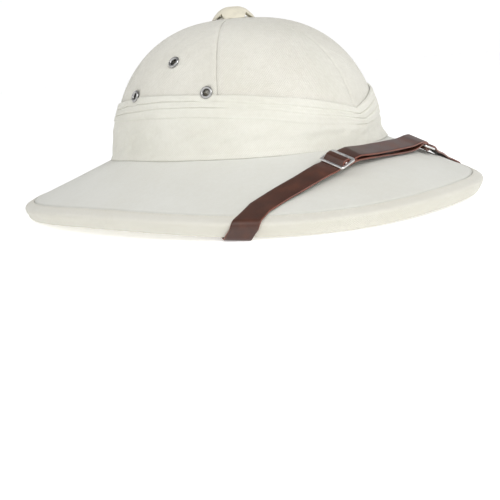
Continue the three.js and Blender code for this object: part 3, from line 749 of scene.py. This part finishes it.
class HAT_OT_stage(bpy.types.Operator):
    """Sets the camera, the pale floor and the soft studio light"""

    bl_idname = "hat.stage"
    bl_label = "Camera, floor and light"

    def execute(self, context):
        back = toward(VIEW["azimuth"], VIEW["elevation"])
        level = unit(np.cross(-back, np.array([0.0, 0.0, 1.0])))
        upright = np.cross(level, -back)
        roll = math.radians(VIEW["roll"])
        right = math.cos(roll) * level + math.sin(roll) * upright
        up = -math.sin(roll) * level + math.cos(roll) * upright
        scale = VIEW["distance"] / VIEW["focal"]
        aside = (AIM_PIXEL[0] - PHOTO_SIDE / 2) * scale
        above = (PHOTO_SIDE / 2 - AIM_PIXEL[1]) * scale
        place = np.array([0.0, 0.0, AIM_HEIGHT]) + back * VIEW["distance"] - right * aside - up * above
        data = bpy.data.cameras.new("view")
        data.sensor_width = SENSOR
        data.lens = VIEW["focal"] * SENSOR / PHOTO_SIDE
        data.clip_end = 50.0
        camera = bpy.data.objects.new("view", data)
        rows = np.stack([right, up, back, place * MM], -1)
        camera.matrix_world = Matrix([*rows.tolist(), [0, 0, 0, 1]])
        context.scene.collection.objects.link(camera)
        context.scene.camera = camera
        self.floor(context)
        self.lights(context)
        return {"FINISHED"}

    def floor(self, context):
        """Pale floor, far wider than the hat, with a faint glow of its own."""
        half = context.scene.hat_look.floor_side / 2
        mesh = bpy.data.meshes.new("floor")
        corners = [(-half, -half, 0), (half, -half, 0), (half, half, 0), (-half, half, 0)]
        mesh.from_pydata(corners, [], [(0, 1, 2, 3)])
        obj = bpy.data.objects.new("floor", mesh)
        context.scene.collection.objects.link(obj)
        m, tree, shader = node_tree("studio_floor")
        shader.inputs["Base Color"].default_value = (0.9, 0.9, 0.9, 1)
        shader.inputs["Roughness"].default_value = 0.9
        shader.inputs["Emission Color"].default_value = (1, 1, 1, 1)
        shader.inputs["Emission Strength"].default_value = 0.5
        mesh.materials.append(m)

    def lights(self, context):
        """A pale room, a large key from the upper left of the view and a weak fill."""
        context.scene.view_settings.view_transform = "Standard"
        world = bpy.data.worlds.new("studio")
        world.use_nodes = True
        tree = world.node_tree
        direction = add(tree, "ShaderNodeTexCoord").outputs["Generated"]
        height = add(tree, "ShaderNodeSeparateXYZ", {0: direction}).outputs[2]
        behind = ramp(tree, height, BEHIND_STOPS)
        front = ramp(tree, height, FRONT_STOPS)
        facing = {0: direction, 1: Vector(toward(VIEW["azimuth"], 0))}
        faced = add(tree, "ShaderNodeVectorMath", facing, operation="DOT_PRODUCT").outputs["Value"]
        faced = ramp(tree, faced, [(0.0, (0, 0, 0)), (0.4, (1, 1, 1))])
        shade = add(tree, "ShaderNodeMixRGB", {0: faced, 1: behind, 2: front}).outputs[0]
        background = tree.nodes["Background"]
        tree.links.new(shade, background.inputs[0])
        background.inputs[1].default_value = WORLD_STRENGTH
        context.scene.world = world
        for name, light in LIGHTS.items():
            data = bpy.data.lights.new(name, "AREA")
            data.shape = "DISK"
            data.size = light["side"]
            data.energy = light["power"]
            obj = bpy.data.objects.new(name, data)
            away = Vector(toward(light["azimuth"], light["elevation"]))
            obj.location = away * light["reach"] + Vector((0, 0, LIGHT_AIM))
            obj.rotation_euler = away.to_track_quat("Z", "Y").to_euler()
            context.scene.collection.objects.link(obj)


class HAT_OT_crown(bpy.types.Operator):
    """Makes the six sewn panels of the crown, drawn in along their seams"""

    bl_idname = "hat.crown"
    bl_label = "Crown panels"

    def execute(self, context):
        depth = context.scene.hat_look.seam_depth / MM
        for side_name, side in SIDES.items():
            for place, (start, stop) in PANELS.items():
                self.panel(side_name, side, place, start, stop, depth)
        return {"FINISHED"}

    def panel(self, side_name, side, place, start, stop, depth):
        """One closed panel between two seams."""
        turns = np.radians(spread(start, stop, 61, 2.6))
        rises = 1 - np.geomspace(1 - CROWN_FOOT_RISE, 1 - VENT_RISE, 90)
        t, u = np.meshgrid(turns, rises, indexing="ij")
        surface = crown_surface(t, u)
        x, y, height = np.moveaxis(surface, -1, 0)
        radius = np.hypot(x, y)
        first, last = math.radians(start), math.radians(stop)
        inset = SEAM["gap"] / np.maximum(radius, 1)
        t = np.clip(t, first + inset, last - inset)
        from_seam = np.minimum(t - first, last - t) * radius
        pucker = SEAM["pucker"] * noise(height * 0.35, t * 3, 5 + int(start))
        swell, swell_at, swell_width = SEAM["swell"]
        lift = swell * bell(from_seam, swell_at, swell_width) - depth * bell(from_seam, 0, SEAM["dip"])
        lift = lift + pucker * bell(from_seam, 0, SEAM["pucker_reach"])
        lift = lift + 0.18 * noise(t * 4, u * 6, 11 + int(start))
        from_cap = np.hypot(x, y - CAP["rearward"])
        lift = lift + COLLAR["height"] * (1 - soft_step(from_cap, COLLAR["inner"], COLLAR["outer"]))
        outer = crown_point(side * t, u, lift)
        inner = crown_point(side * t, u, -PANEL_THICKNESS)
        obj = cloth_piece(f"crown_panel_{place}_{side_name}", "crown", outer, inner, False)
        middle = math.radians((start + stop) / 2)
        length = np.broadcast_to(arc_length(surface[len(turns) // 2]), t.shape)
        set_uv(obj, np.stack([(t - middle) * radius, length], -1) * MM)
        if place == "side":
            cut_eyelet_holes(obj, [side])


class HAT_OT_brim(bpy.types.Operator):
    """Makes the cloth on top of the brim and the plain cloth of the body under it"""

    bl_idname = "hat.brim"
    bl_label = "Brim cover and body"

    def execute(self, context):
        turns = circle(360)
        t, k = np.meshgrid(turns, np.linspace(0, 1, 26), indexing="ij")
        low = BINDING_WIDTH + 0.35
        inward = low + (brim_length(t) + 2.2 - low) * k
        ripple = 0.22 * noise(t * 5, k * 5, 31) * np.sin(math.pi * k)
        up = -0.25 - 0.55 * k + ripple
        outer = brim_point(t, inward, up)
        obj = cloth_piece("brim_cover", "brim", outer, brim_point(t, inward, up - BRIM_CLOTH))
        set_uv(obj, settle(outer)[..., :2])
        self.body(turns)
        return {"FINISHED"}

    def body(self, turns):
        """The moulded body: its inside and underside show, and its outside lies under the cloth."""
        rises = 1 - np.geomspace(1 - CROWN_FOOT_RISE, 1 - VENT_RISE, 40)[::-1]
        t, u = np.meshgrid(turns[::2], rises, indexing="ij")
        edge = t[:, :1]
        length = brim_length(edge)
        outside = [crown_point(t, u, -BODY["cover"])]
        inside = [crown_point(t, u, -BODY["wall"])]
        for share in np.linspace(0, 1, 14):
            top = length + 2.5 + (1.5 - length) * share
            low = length + 4 - length * share
            outside.append(brim_point(edge, top, -2.1 + 0.6 * share))
            wave = BODY["ripple"] * ring_noise(edge, 6, share * 4 + 0 * edge, 77)
            inside.append(brim_point(edge, low, wave - BODY["under"]))
        outside.append(brim_point(edge, BODY["tip"], -2.9))
        inside.append(brim_point(edge, BODY["tip"], 1.4 - BODY["under"]))
        outer, inner = (settle(np.concatenate(rows, axis=1)) for rows in (outside, inside))
        verts, faces = skin_mesh(outer, inner, True)
        obj = new_object("body_cloth", verts, faces, "lining", "lining_cloth", ["pith_body"])
        set_uv(obj, np.stack([verts[:, 0], verts[:, 1] + verts[:, 2]], -1))
        cut_eyelet_holes(obj, SIDES.values())


class HAT_OT_binding(bpy.types.Operator):
    """Makes the cloth strip over the rim and the row of stitches that holds it"""

    bl_idname = "hat.binding"
    bl_label = "Rim binding and stitches"

    def execute(self, context):
        section = catmull(BINDING_SECTION, 60)
        t, inward = np.meshgrid(circle(420), section[:, 0], indexing="ij")
        up = np.broadcast_to(section[:, 1], t.shape)
        pull = 0.09 * ring_noise(t, 46, inward * 0.25, 41) + 0.08 * ring_noise(t, 90, up * 0.3, 42)
        middle = (5.0, -RIM_THICKNESS / 2)
        away = unit(np.stack([middle[0] - inward, up - middle[1]], -1))
        outer = brim_point(t, inward - away[..., 0] * pull, up + away[..., 1] * pull)
        face = BINDING_CLOTH["face"]
        inner_up = np.clip(up, face - RIM_THICKNESS, -face)
        inner = brim_point(t, np.maximum(inward, BINDING_CLOTH["edge"]), inner_up)
        obj = cloth_piece("rim_binding", "binding", outer, inner)
        wrap_uv(obj, t, arc_length(section), 160)
        self.stitches(context.scene.hat_look.stitch_pitch / MM)
        return {"FINISHED"}

    def stitches(self, pitch):
        """Short raised stitches round the top of the binding."""
        fine = np.linspace(0, TAU, 1441)
        arc = arc_length(brim_point(fine, STITCH_AT, STITCH_RISE))
        count = int(arc[-1] / pitch)
        ring = circle(STITCH_SIDES)
        verts, faces = [], []
        for i in range(count):
            here = (i + 0.5) * arc[-1] / count
            rows = []
            for along, radius, rise in STITCH:
                angle = np.interp(here + along * pitch, arc, fine)
                inward = STITCH_AT + radius * np.cos(ring)
                rows.append(brim_point(angle, inward, STITCH_RISE + rise + radius * np.sin(ring)))
            start = len(verts)
            verts.extend(settle(np.array(rows)).reshape(-1, 3))
            faces += grid_faces(len(STITCH), STITCH_SIDES, close_columns=True, start=start)
            faces += end_faces(len(STITCH), STITCH_SIDES, start)
        new_object("rim_stitches", verts, faces, "thread", "cover_cloth")


class HAT_OT_band(bpy.types.Operator):
    """Makes the wrapped band with its pleats, front crossing, soft wrinkles and hem"""

    bl_idname = "hat.band"
    bl_label = "Puggaree"

    def execute(self, context):
        turns = np.linspace(-math.pi, math.pi, 440, endpoint=False)
        pleats = [spread(k, k + 1, 12, 1.7)[:-1] for k in range(3)]
        share = np.concatenate([*pleats, np.linspace(3, 4, 30)])
        t, k = np.meshgrid(turns, share, indexing="ij")
        crossing = np.radians(np.interp(np.minimum(k, 3), *CROSSING))
        front = bell(t, 0, math.radians(26))
        foot = by_direction(t, FOOT_HEIGHT) + 0.25
        top, z = self.heights(t, k, np.degrees(np.abs(t - crossing * front)), foot)
        wrinkle = context.scene.hat_look.wrinkle_height / MM
        off = np.interp(k, *BAND_STAND) + self.folds(t, k) + self.drape(t, k, z, foot, wrinkle)
        off = off + 0.55 * soft_step(t - crossing, -0.012, 0.004) * (1 - soft_step(t, 0.05, 0.3)) * front
        off = self.pressed(t, z, np.maximum(off, 0.7))
        outer = crown_point(t, rise_at(t, z), off)
        lifted = 1 - 0.7 * bell(np.degrees(t), -32, 20)
        outer[..., 2] -= 0.3 * (off - 0.6) * soft_step(k, 3.55, 4) * lifted
        inner_z = foot + 1.0 + (z - foot) * (top - 0.3 - foot - 1.0) / (top - foot)
        obj = cloth_piece("puggaree", "band", outer, crown_point(t, rise_at(t, inner_z), 0.45))
        wrap_uv(obj, t, z, 105)
        cut_eyelet_holes(obj, SIDES.values())
        return {"FINISHED"}

    def heights(self, t, k, angle, foot):
        """Height of the top edge, and of every point between the top edge, the pleats and the foot."""
        names = ("top", "first", "second", "third")
        lines = [np.interp(angle, BAND_LINES["angle"], BAND_LINES[key]) for key in names] + [foot]
        z = np.zeros_like(t)
        for i in range(4):
            inside = (k >= i) & (k <= i + 1)
            z = np.where(inside, lines[i] + (lines[i + 1] - lines[i]) * (k - i), z)
        return lines[0], z + 0.35 * ring_noise(t, 9, k * 0.8, 51) * plateau(k, 0.05, 0.6, 3.2, 3.9)

    def folds(self, t, k):
        """Relief of the pleats: crisp, but fanned out on the right of the crossing."""
        angle = np.degrees(t)
        part = k - np.floor(np.minimum(k, 3.999))
        bulge = np.sin(math.pi * np.clip(part, 0, 1) ** 0.75)
        pleat = np.where(k < 3, 0.75 * bulge + 0.55 * bell(part, 0.9, 0.13) - 0.35 * bell(part, 0, 0.06), 0)
        crisp = 1 - 0.85 * plateau(angle, 1.5, 5, 52, 64)
        far_side = 1 + 0.9 * plateau(-angle, 2, 10, 62, 80)
        pleat = pleat * (0.8 + 0.3 * ring_noise(t, 5, np.minimum(k, 3) * 2, 52)) * crisp * far_side
        fan = 0.26 * np.sin(TAU * (k * 2.1 + 0.5 * ring_noise(t, 3, k * 0.4, 53)))
        fan = (fan + 0.2 * ring_noise(t, 7, k * 5, 54)) * (1 - crisp)
        return pleat + fan * plateau(k, 0.15, 0.6, 3.3, 3.9)

    def drape(self, t, k, z, foot, wrinkle):
        """Relief of the lower part: the hem, the loose foot at the front left and the soft creases."""
        above = z - foot
        hem = 0.45 * soft_step(-above, -HEM_HEIGHT - 0.25, -HEM_HEIGHT + 0.1)
        loose = (0.4 + 3.8 * bell(np.degrees(t), -38, 24)) * np.exp(-np.clip(above, 0, 50) / 6.5)
        plain = soft_step(k, 3.05, 3.35)
        creases = (
            0.9 * ring_noise(t + z * 0.009, 11, z * 0.16, 61)
            + 0.6 * ring_noise(t - z * 0.008, 24, z * 0.12, 62)
            + 0.35 * ring_noise(t + z * 0.007, 51, z * 0.3, 63)
        )
        creases = wrinkle * plain * creases * (0.5 + 0.5 * soft_step(above, 0, 6))
        ripple = 0.22 * (1 - plain) * ring_noise(t, 28, k * 1.1, 64)
        return hem + 0.75 * loose * soft_step(k, 3.2, 4) + creases + ripple

    def pressed(self, t, z, off):
        """Presses the band flat under the eyelets' flanges."""
        place = crown_surface(t, rise_at(t, z))
        for side in SIDES.values():
            for angle, height, _ in EYELETS.values():
                at = side * math.radians(angle)
                centre = crown_surface(at, rise_at(at, height))
                distance = np.linalg.norm(place - centre, axis=-1)
                share = 1 - soft_step(distance, PRESS["near"], PRESS["far"])
                off = off + (np.minimum(off, PRESS["off"]) - off) * share
        return off


class HAT_OT_cap(bpy.types.Operator):
    """Makes the painted vent cap, a low dome on four feet"""

    bl_idname = "hat.cap"
    bl_label = "Vent cap"

    def execute(self, context):
        radius, wall = CAP["radius"], CAP["wall"]
        profile = catmull(CAP_PROFILE, 200) * (radius, CAP["height"])
        whole = np.linspace(0, 1, len(profile))
        angles = circle(192)
        quarter = (angles + math.pi / 4) % (math.pi / 2) - math.pi / 4
        outer, inner = [], []
        for angle, local in zip(angles, quarter):
            across = abs(radius * math.sin(local))
            bottom = CAP["slot_height"] * max(1 - across / CAP["slot_half"], 0.0)
            stop = np.interp(bottom, profile[::-1, 1], whole[::-1])
            at = np.linspace(0, 1, 34) * stop
            r = np.maximum(np.interp(at, whole, profile[:, 0]), 0.05)
            h = np.interp(at, whole, profile[:, 1])
            drop = wall * np.sqrt(np.maximum(1 - r / radius, 0))
            for skin, reach, height in ((outer, r, h), (inner, r * (1 - wall / radius), h - drop)):
                x, y = math.cos(angle) * reach, math.sin(angle) * reach
                skin.append(np.stack([x, y, np.maximum(height, 0)], -1))
        centre = settle(np.array([0.0, CAP["rearward"], CROWN_TOP + CAP["stand"]]))
        skin = skin_mesh(np.array(outer) * MM + centre, np.array(inner) * MM + centre, True)
        new_object("vent_cap_paint", *skin, "paint", "cap_paint", ["vent_cap"])
        return {"FINISHED"}


class HAT_OT_eyelets(bpy.types.Operator):
    """Makes the six rolled nickel eyelets"""

    bl_idname = "hat.eyelets"
    bl_label = "Eyelets"

    def execute(self, context):
        for side_name, side in SIDES.items():
            for place, (angle, z, stand) in EYELETS.items():
                rolled = TUBE_TOP + [(r, stand + h) for r, h in ROLLED_RING] + TUBE_FOOT
                verts, faces = turned_mesh(rolled, 40)
                verts = crown_seat(verts, side * math.radians(angle), z)
                name = f"eyelet_{side_name}_{place}"
                new_object(f"{name}_ring", verts, faces, "eyelet", "nickel", [name])
        return {"FINISHED"}


class Bridge:
    """The strap's middle line above the brim, by distance from the right buckle's centre."""

    def __init__(self):
        centre = np.array(BUCKLE_CENTRE, float)
        heading = unit(np.array(BUCKLE_HEADING, float))
        straight = [centre + heading * s for s in STRAIGHT]
        half = np.concatenate([BRIDGE_OUTER, straight, BRIDGE_INNER])
        flip = np.array([-1, 1, 1])
        points = np.concatenate([half, [BRIDGE_CENTRE], half[::-1] * flip])
        self.line = np.array([centripetal(points, q) for q in np.linspace(0, len(points) - 1, 3001)])
        self.length = arc_length(self.line)
        right, left = (np.linalg.norm(self.line - p, axis=1).argmin() for p in (centre, centre * flip))
        self.zero = self.length[right]
        self.span = self.length[left] - self.zero

    def at(self, s):
        """Point at a distance."""
        return np.array([np.interp(s + self.zero, self.length, self.line[:, i]) for i in range(3)])

    def frame(self, s):
        """Point, along, across (uphill) and up at a distance."""
        point = self.at(s)
        along = unit(self.at(s + 0.5) - self.at(s - 0.5))
        share = np.clip((abs(point[0]) - PITCH["from"]) / (PITCH["to"] - PITCH["from"]), 0, 1)
        pitch = math.radians(PITCH["bridge"] + (PITCH["brim"] - PITCH["bridge"]) * share)
        across = np.array([0, math.cos(pitch), math.sin(pitch)])
        across = unit(across - along * across.dot(along))
        return point, along, across, np.cross(along, across)


def sag(points):
    """Lowers the strap's left part, by distance along X."""
    share = np.where(points[..., 1] > SAG["behind"], 0.0, plateau(points[..., 0], *SAG["along"]))
    out = np.array(points, float)
    out[..., 2] -= SAG["depth"] * share
    return out


def rounded_path(path, steps=5):
    """Rounds each corner of a path of (distance, height, thickness)."""
    p = np.array(path, float)
    out = [p[0]]
    for before, here, after in zip(p, p[1:], p[2:]):
        leg_in = np.hypot(*(here - before)[:2])
        leg_out = np.hypot(*(after - here)[:2])
        start = here + (before - here) * min(1.0 / leg_in, 0.45)
        stop = here + (after - here) * min(1.0 / leg_out, 0.45)
        for s in np.linspace(0, 1, steps):
            out.append(start * (1 - s) ** 2 + here * 2 * s * (1 - s) + stop * s * s)
    return [*out, p[-1]]


def densified(path):
    """Adds points so that no step of a path is longer than it may be."""
    out = [np.array(path[0], float)]
    for q in path[1:]:
        first = out[-1]
        step = np.array(q, float) - first
        n = max(math.ceil(np.hypot(*step[:2]) / LONGEST_STEP), 1)
        out.extend(first + step * (k + 1) / n for k in range(n))
    return out


def strap_section():
    """Closed section of the strap as (distance across, share of thickness), with softened edges."""
    half = STRAP_WIDTH / 2
    flat = np.linspace(-half + 0.6, half - 0.6, 9)
    edge = [(half - 0.25, 0.42), (half, 0.2), (half, -0.2), (half - 0.25, -0.42)]
    top = [(w, 0.5) for w in flat] + edge
    return np.array(top + [(-w, -k) for w, k in top])


def rim_wrap(across, along, off):
    """Point on the wrap round the rim's section."""
    a = math.radians(WRAP["angle"]) + along / WRAP["per_radian"]
    r = WRAP["corner"]
    arc = r * math.pi / 2
    flat = RIM_THICKNESS - 2 * r
    if across < 0:
        inward, up = r - across, off
    elif across < arc:
        inward = r - (r + off) * math.sin(across / r)
        up = -r + (r + off) * math.cos(across / r)
    elif across < arc + flat:
        inward, up = -off, arc - r - across
    elif across < 2 * arc + flat:
        turn = (across - arc - flat) / r
        inward = r - (r + off) * math.cos(turn)
        up = r - RIM_THICKNESS - (r + off) * math.sin(turn)
    else:
        inward, up = r + across - 2 * arc - flat, -RIM_THICKNESS - off
    return brim_point(a, inward, up).reshape(3)


class HAT_OT_straps(bpy.types.Operator):
    """Makes the two leather halves of the chin strap, threaded through the slides"""

    bl_idname = "hat.straps"
    bl_label = "Chin strap"

    def execute(self, context):
        self.bridge = Bridge()
        self.section = strap_section()
        for side_name, side in SIDES.items():
            self.half_strap(side_name, side)
        return {"FINISHED"}

    def half_strap(self, side_name, side):
        """One half, from the rivet in the crown to its folded end at the other slide."""
        span = self.bridge.span
        lead = [(s, 0, H) for s in np.linspace(-62, -26, 16)]
        rise = TOP_RISE if side > 0 else 0.0
        middle = []
        for s in np.linspace(26, span - 29, 20):
            middle.append((s, 1.3 + rise * (1 - soft_step(span - s, 29, 80)), H))
        far_end = rounded_path(FAR_OVER if side > 0 else FAR_END)
        far = [(span - s, n, h) for s, n, h in far_end]
        rings = self.under_rings() + [self.wrap_ring(l) for l in np.linspace(WRAP["to"], WRAP["from"], 70)]
        rings += self.strip_rings(densified([*lead, *rounded_path(OWN_END), *middle, *far]), side)
        rings = np.array(rings) * np.array([side, 1, 1])
        count, around = rings.shape[:2]
        faces = grid_faces(count, around, close_columns=True) + end_faces(count, around)
        name = f"strap_{side_name}"
        verts = settle(sag(rings)).reshape(-1, 3)
        obj = new_object(f"{name}_leather", verts, faces, "leather", "strap_leather", [name], "edge")
        edge = {j for j in range(around) if abs(self.section[j][0]) > STRAP_WIDTH / 2 - 0.5}
        for polygon in obj.data.polygons:
            places = {v % around for v in polygon.vertices}
            cut = len(places) == around or places <= edge
            polygon.material_index = 1 if cut else 0

    def strip_rings(self, path, flip):
        """Rings of the strap over the bridge, with mitred corners; the left half hangs below its line."""
        steps = unit(np.array([((q - p) * (1, flip, 1))[:2] for p, q in zip(path, path[1:])]))
        rings = []
        for i, (s, n, h) in enumerate(path):
            leg_in = steps[max(i - 1, 0)]
            heading = unit(leg_in + steps[min(i, len(steps) - 1)])
            mitre = 1 / max(heading.dot(leg_in), 0.7)
            point, along, across, up = self.bridge.frame(s)
            off = (-heading[1] * along + heading[0] * up) * h * mitre
            middle = point + up * n * flip
            rings.append([middle + across * w + off * k for w, k in self.section])
        return rings

    def wrap_ring(self, l):
        """One ring of the slanted turn round the rim."""
        slant = WRAP["slant"]
        shear = min(max((l - WRAP["from"]) / WRAP["shear"], 0), 1, max((WRAP["to"] - l) / WRAP["shear"], 0))
        ring = []
        for w, k in self.section:
            m = l + shear * w * math.tan(slant)
            across = m * math.cos(slant) - w * math.sin(slant)
            along = m * math.sin(slant) + w * math.cos(slant)
            ring.append(rim_wrap(across, along, WRAP["clear"] + STRAP_THICKNESS * (k + 0.5)))
        return ring

    def under_rings(self):
        """Rings of the hidden way from the rivet to the rim."""
        points, faces = (np.array(column, float) for column in zip(*UNDER))
        faces = unit(faces)
        last = len(UNDER) - 1
        rings = []
        for q in np.linspace(last, 0, 50):
            middle = centripetal(points, q)
            along = unit(centripetal(points, min(q + 0.02, last)) - centripetal(points, max(q - 0.02, 0)))
            face = centripetal(faces, q)
            face = unit(face - along * face.dot(along))
            across = np.cross(along, face)
            rings.append([middle + across * w + face * k * STRAP_THICKNESS for w, k in self.section])
        return rings


class HAT_OT_buckles(bpy.types.Operator):
    """Rounds the bars of the two nickel slides and plates the rivets"""

    bl_idname = "hat.buckles"
    bl_label = "Slides and rivets"

    def execute(self, context):
        place = Bridge().frame(0)
        for side_name, side in SIDES.items():
            name = f"buckle_{side_name}"
            verts, faces = self.slide()
            verts = settle(sag(seat(verts, *place) * np.array([side, 1, 1])))
            new_object(f"{name}_slide", verts, faces, "nickel", "nickel", [name])
            for rivet_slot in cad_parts[f"anchor_{side_name}"].material_slots:
                rivet_slot.material = materials()["nickel"]
        return {"FINISHED"}

    def slide(self):
        """A rounded rectangle of smooth bar with a bar across its middle."""
        half_bar, half_height = SLIDE["bar"] / 2, SLIDE["thickness"] / 2
        x, y = SLIDE["length"] / 2 - half_bar, SLIDE["width"] / 2 - half_bar
        r = SLIDE["corner"]
        path, away = [], []
        for quarter, (cx, cy) in enumerate(((x - r, y - r), (r - x, y - r), (r - x, r - y), (x - r, r - y))):
            for a in np.linspace(0, math.pi / 2, 9) + quarter * math.pi / 2:
                away.append((math.cos(a), math.sin(a)))
                path.append((cx + r * math.cos(a), cy + r * math.sin(a)))
        verts, faces = self.bar(np.array(path), np.array(away), half_bar, half_height, True)
        line = np.stack([np.zeros(5), np.linspace(-y, y, 5)], -1)
        aside = np.tile([1.0, 0.0], (5, 1))
        more, extra = self.bar(line, aside, SLIDE["middle"] / 2, half_height - 0.04, False)
        start = len(verts)
        return np.concatenate([verts, more]), faces + [tuple(start + k for k in face) for face in extra]

    def bar(self, path, away, half_width, half_height, closed):
        """Sweeps a softened square section along a flat path."""
        turn = circle(20)
        wide, high = (
            half * np.sign(c) * np.abs(c) ** 0.6
            for half, c in ((half_width, np.cos(turn)), (half_height, np.sin(turn)))
        )
        rings = path[:, None, :] + away[:, None, :] * wide[None, :, None]
        verts = np.concatenate([rings, np.broadcast_to(high[None, :, None], (*rings.shape[:2], 1))], -1)
        count, around = rings.shape[:2]
        faces = grid_faces(count, around, close_rows=closed, close_columns=True)
        if not closed:
            faces += end_faces(count, around)
        return verts.reshape(-1, 3), faces


class HAT_PT_panel(bpy.types.Panel):
    """Lists the hat's pieces in the sidebar"""

    bl_idname = "HAT_PT_panel"
    bl_label = "Pith helmet"
    bl_space_type = "VIEW_3D"
    bl_region_type = "UI"
    bl_category = "Hat"

    def draw(self, context):
        look = context.scene.hat_look
        for key in HatLook.__annotations__:
            self.layout.prop(look, key)
        for operator in OPERATORS:
            self.layout.operator(operator.bl_idname)


OPERATORS = (
    HAT_OT_stage,
    HAT_OT_crown,
    HAT_OT_brim,
    HAT_OT_binding,
    HAT_OT_band,
    HAT_OT_cap,
    HAT_OT_eyelets,
    HAT_OT_straps,
    HAT_OT_buckles,
)
CLASSES = (HatLook, *OPERATORS, HAT_PT_panel)


def register():
    for cls in CLASSES:
        bpy.utils.register_class(cls)
    bpy.types.Scene.hat_look = bpy.props.PointerProperty(type=HatLook)


def unregister():
    del bpy.types.Scene.hat_look
    for cls in reversed(CLASSES):
        bpy.utils.unregister_class(cls)


def main():
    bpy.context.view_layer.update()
    register()
    bpy.ops.hat.stage()
    bpy.ops.hat.crown()
    bpy.ops.hat.brim()
    bpy.ops.hat.binding()
    bpy.ops.hat.band()
    bpy.ops.hat.cap()
    bpy.ops.hat.eyelets()
    bpy.ops.hat.straps()
    bpy.ops.hat.buckles()


if __name__ == "__main__":
    main()
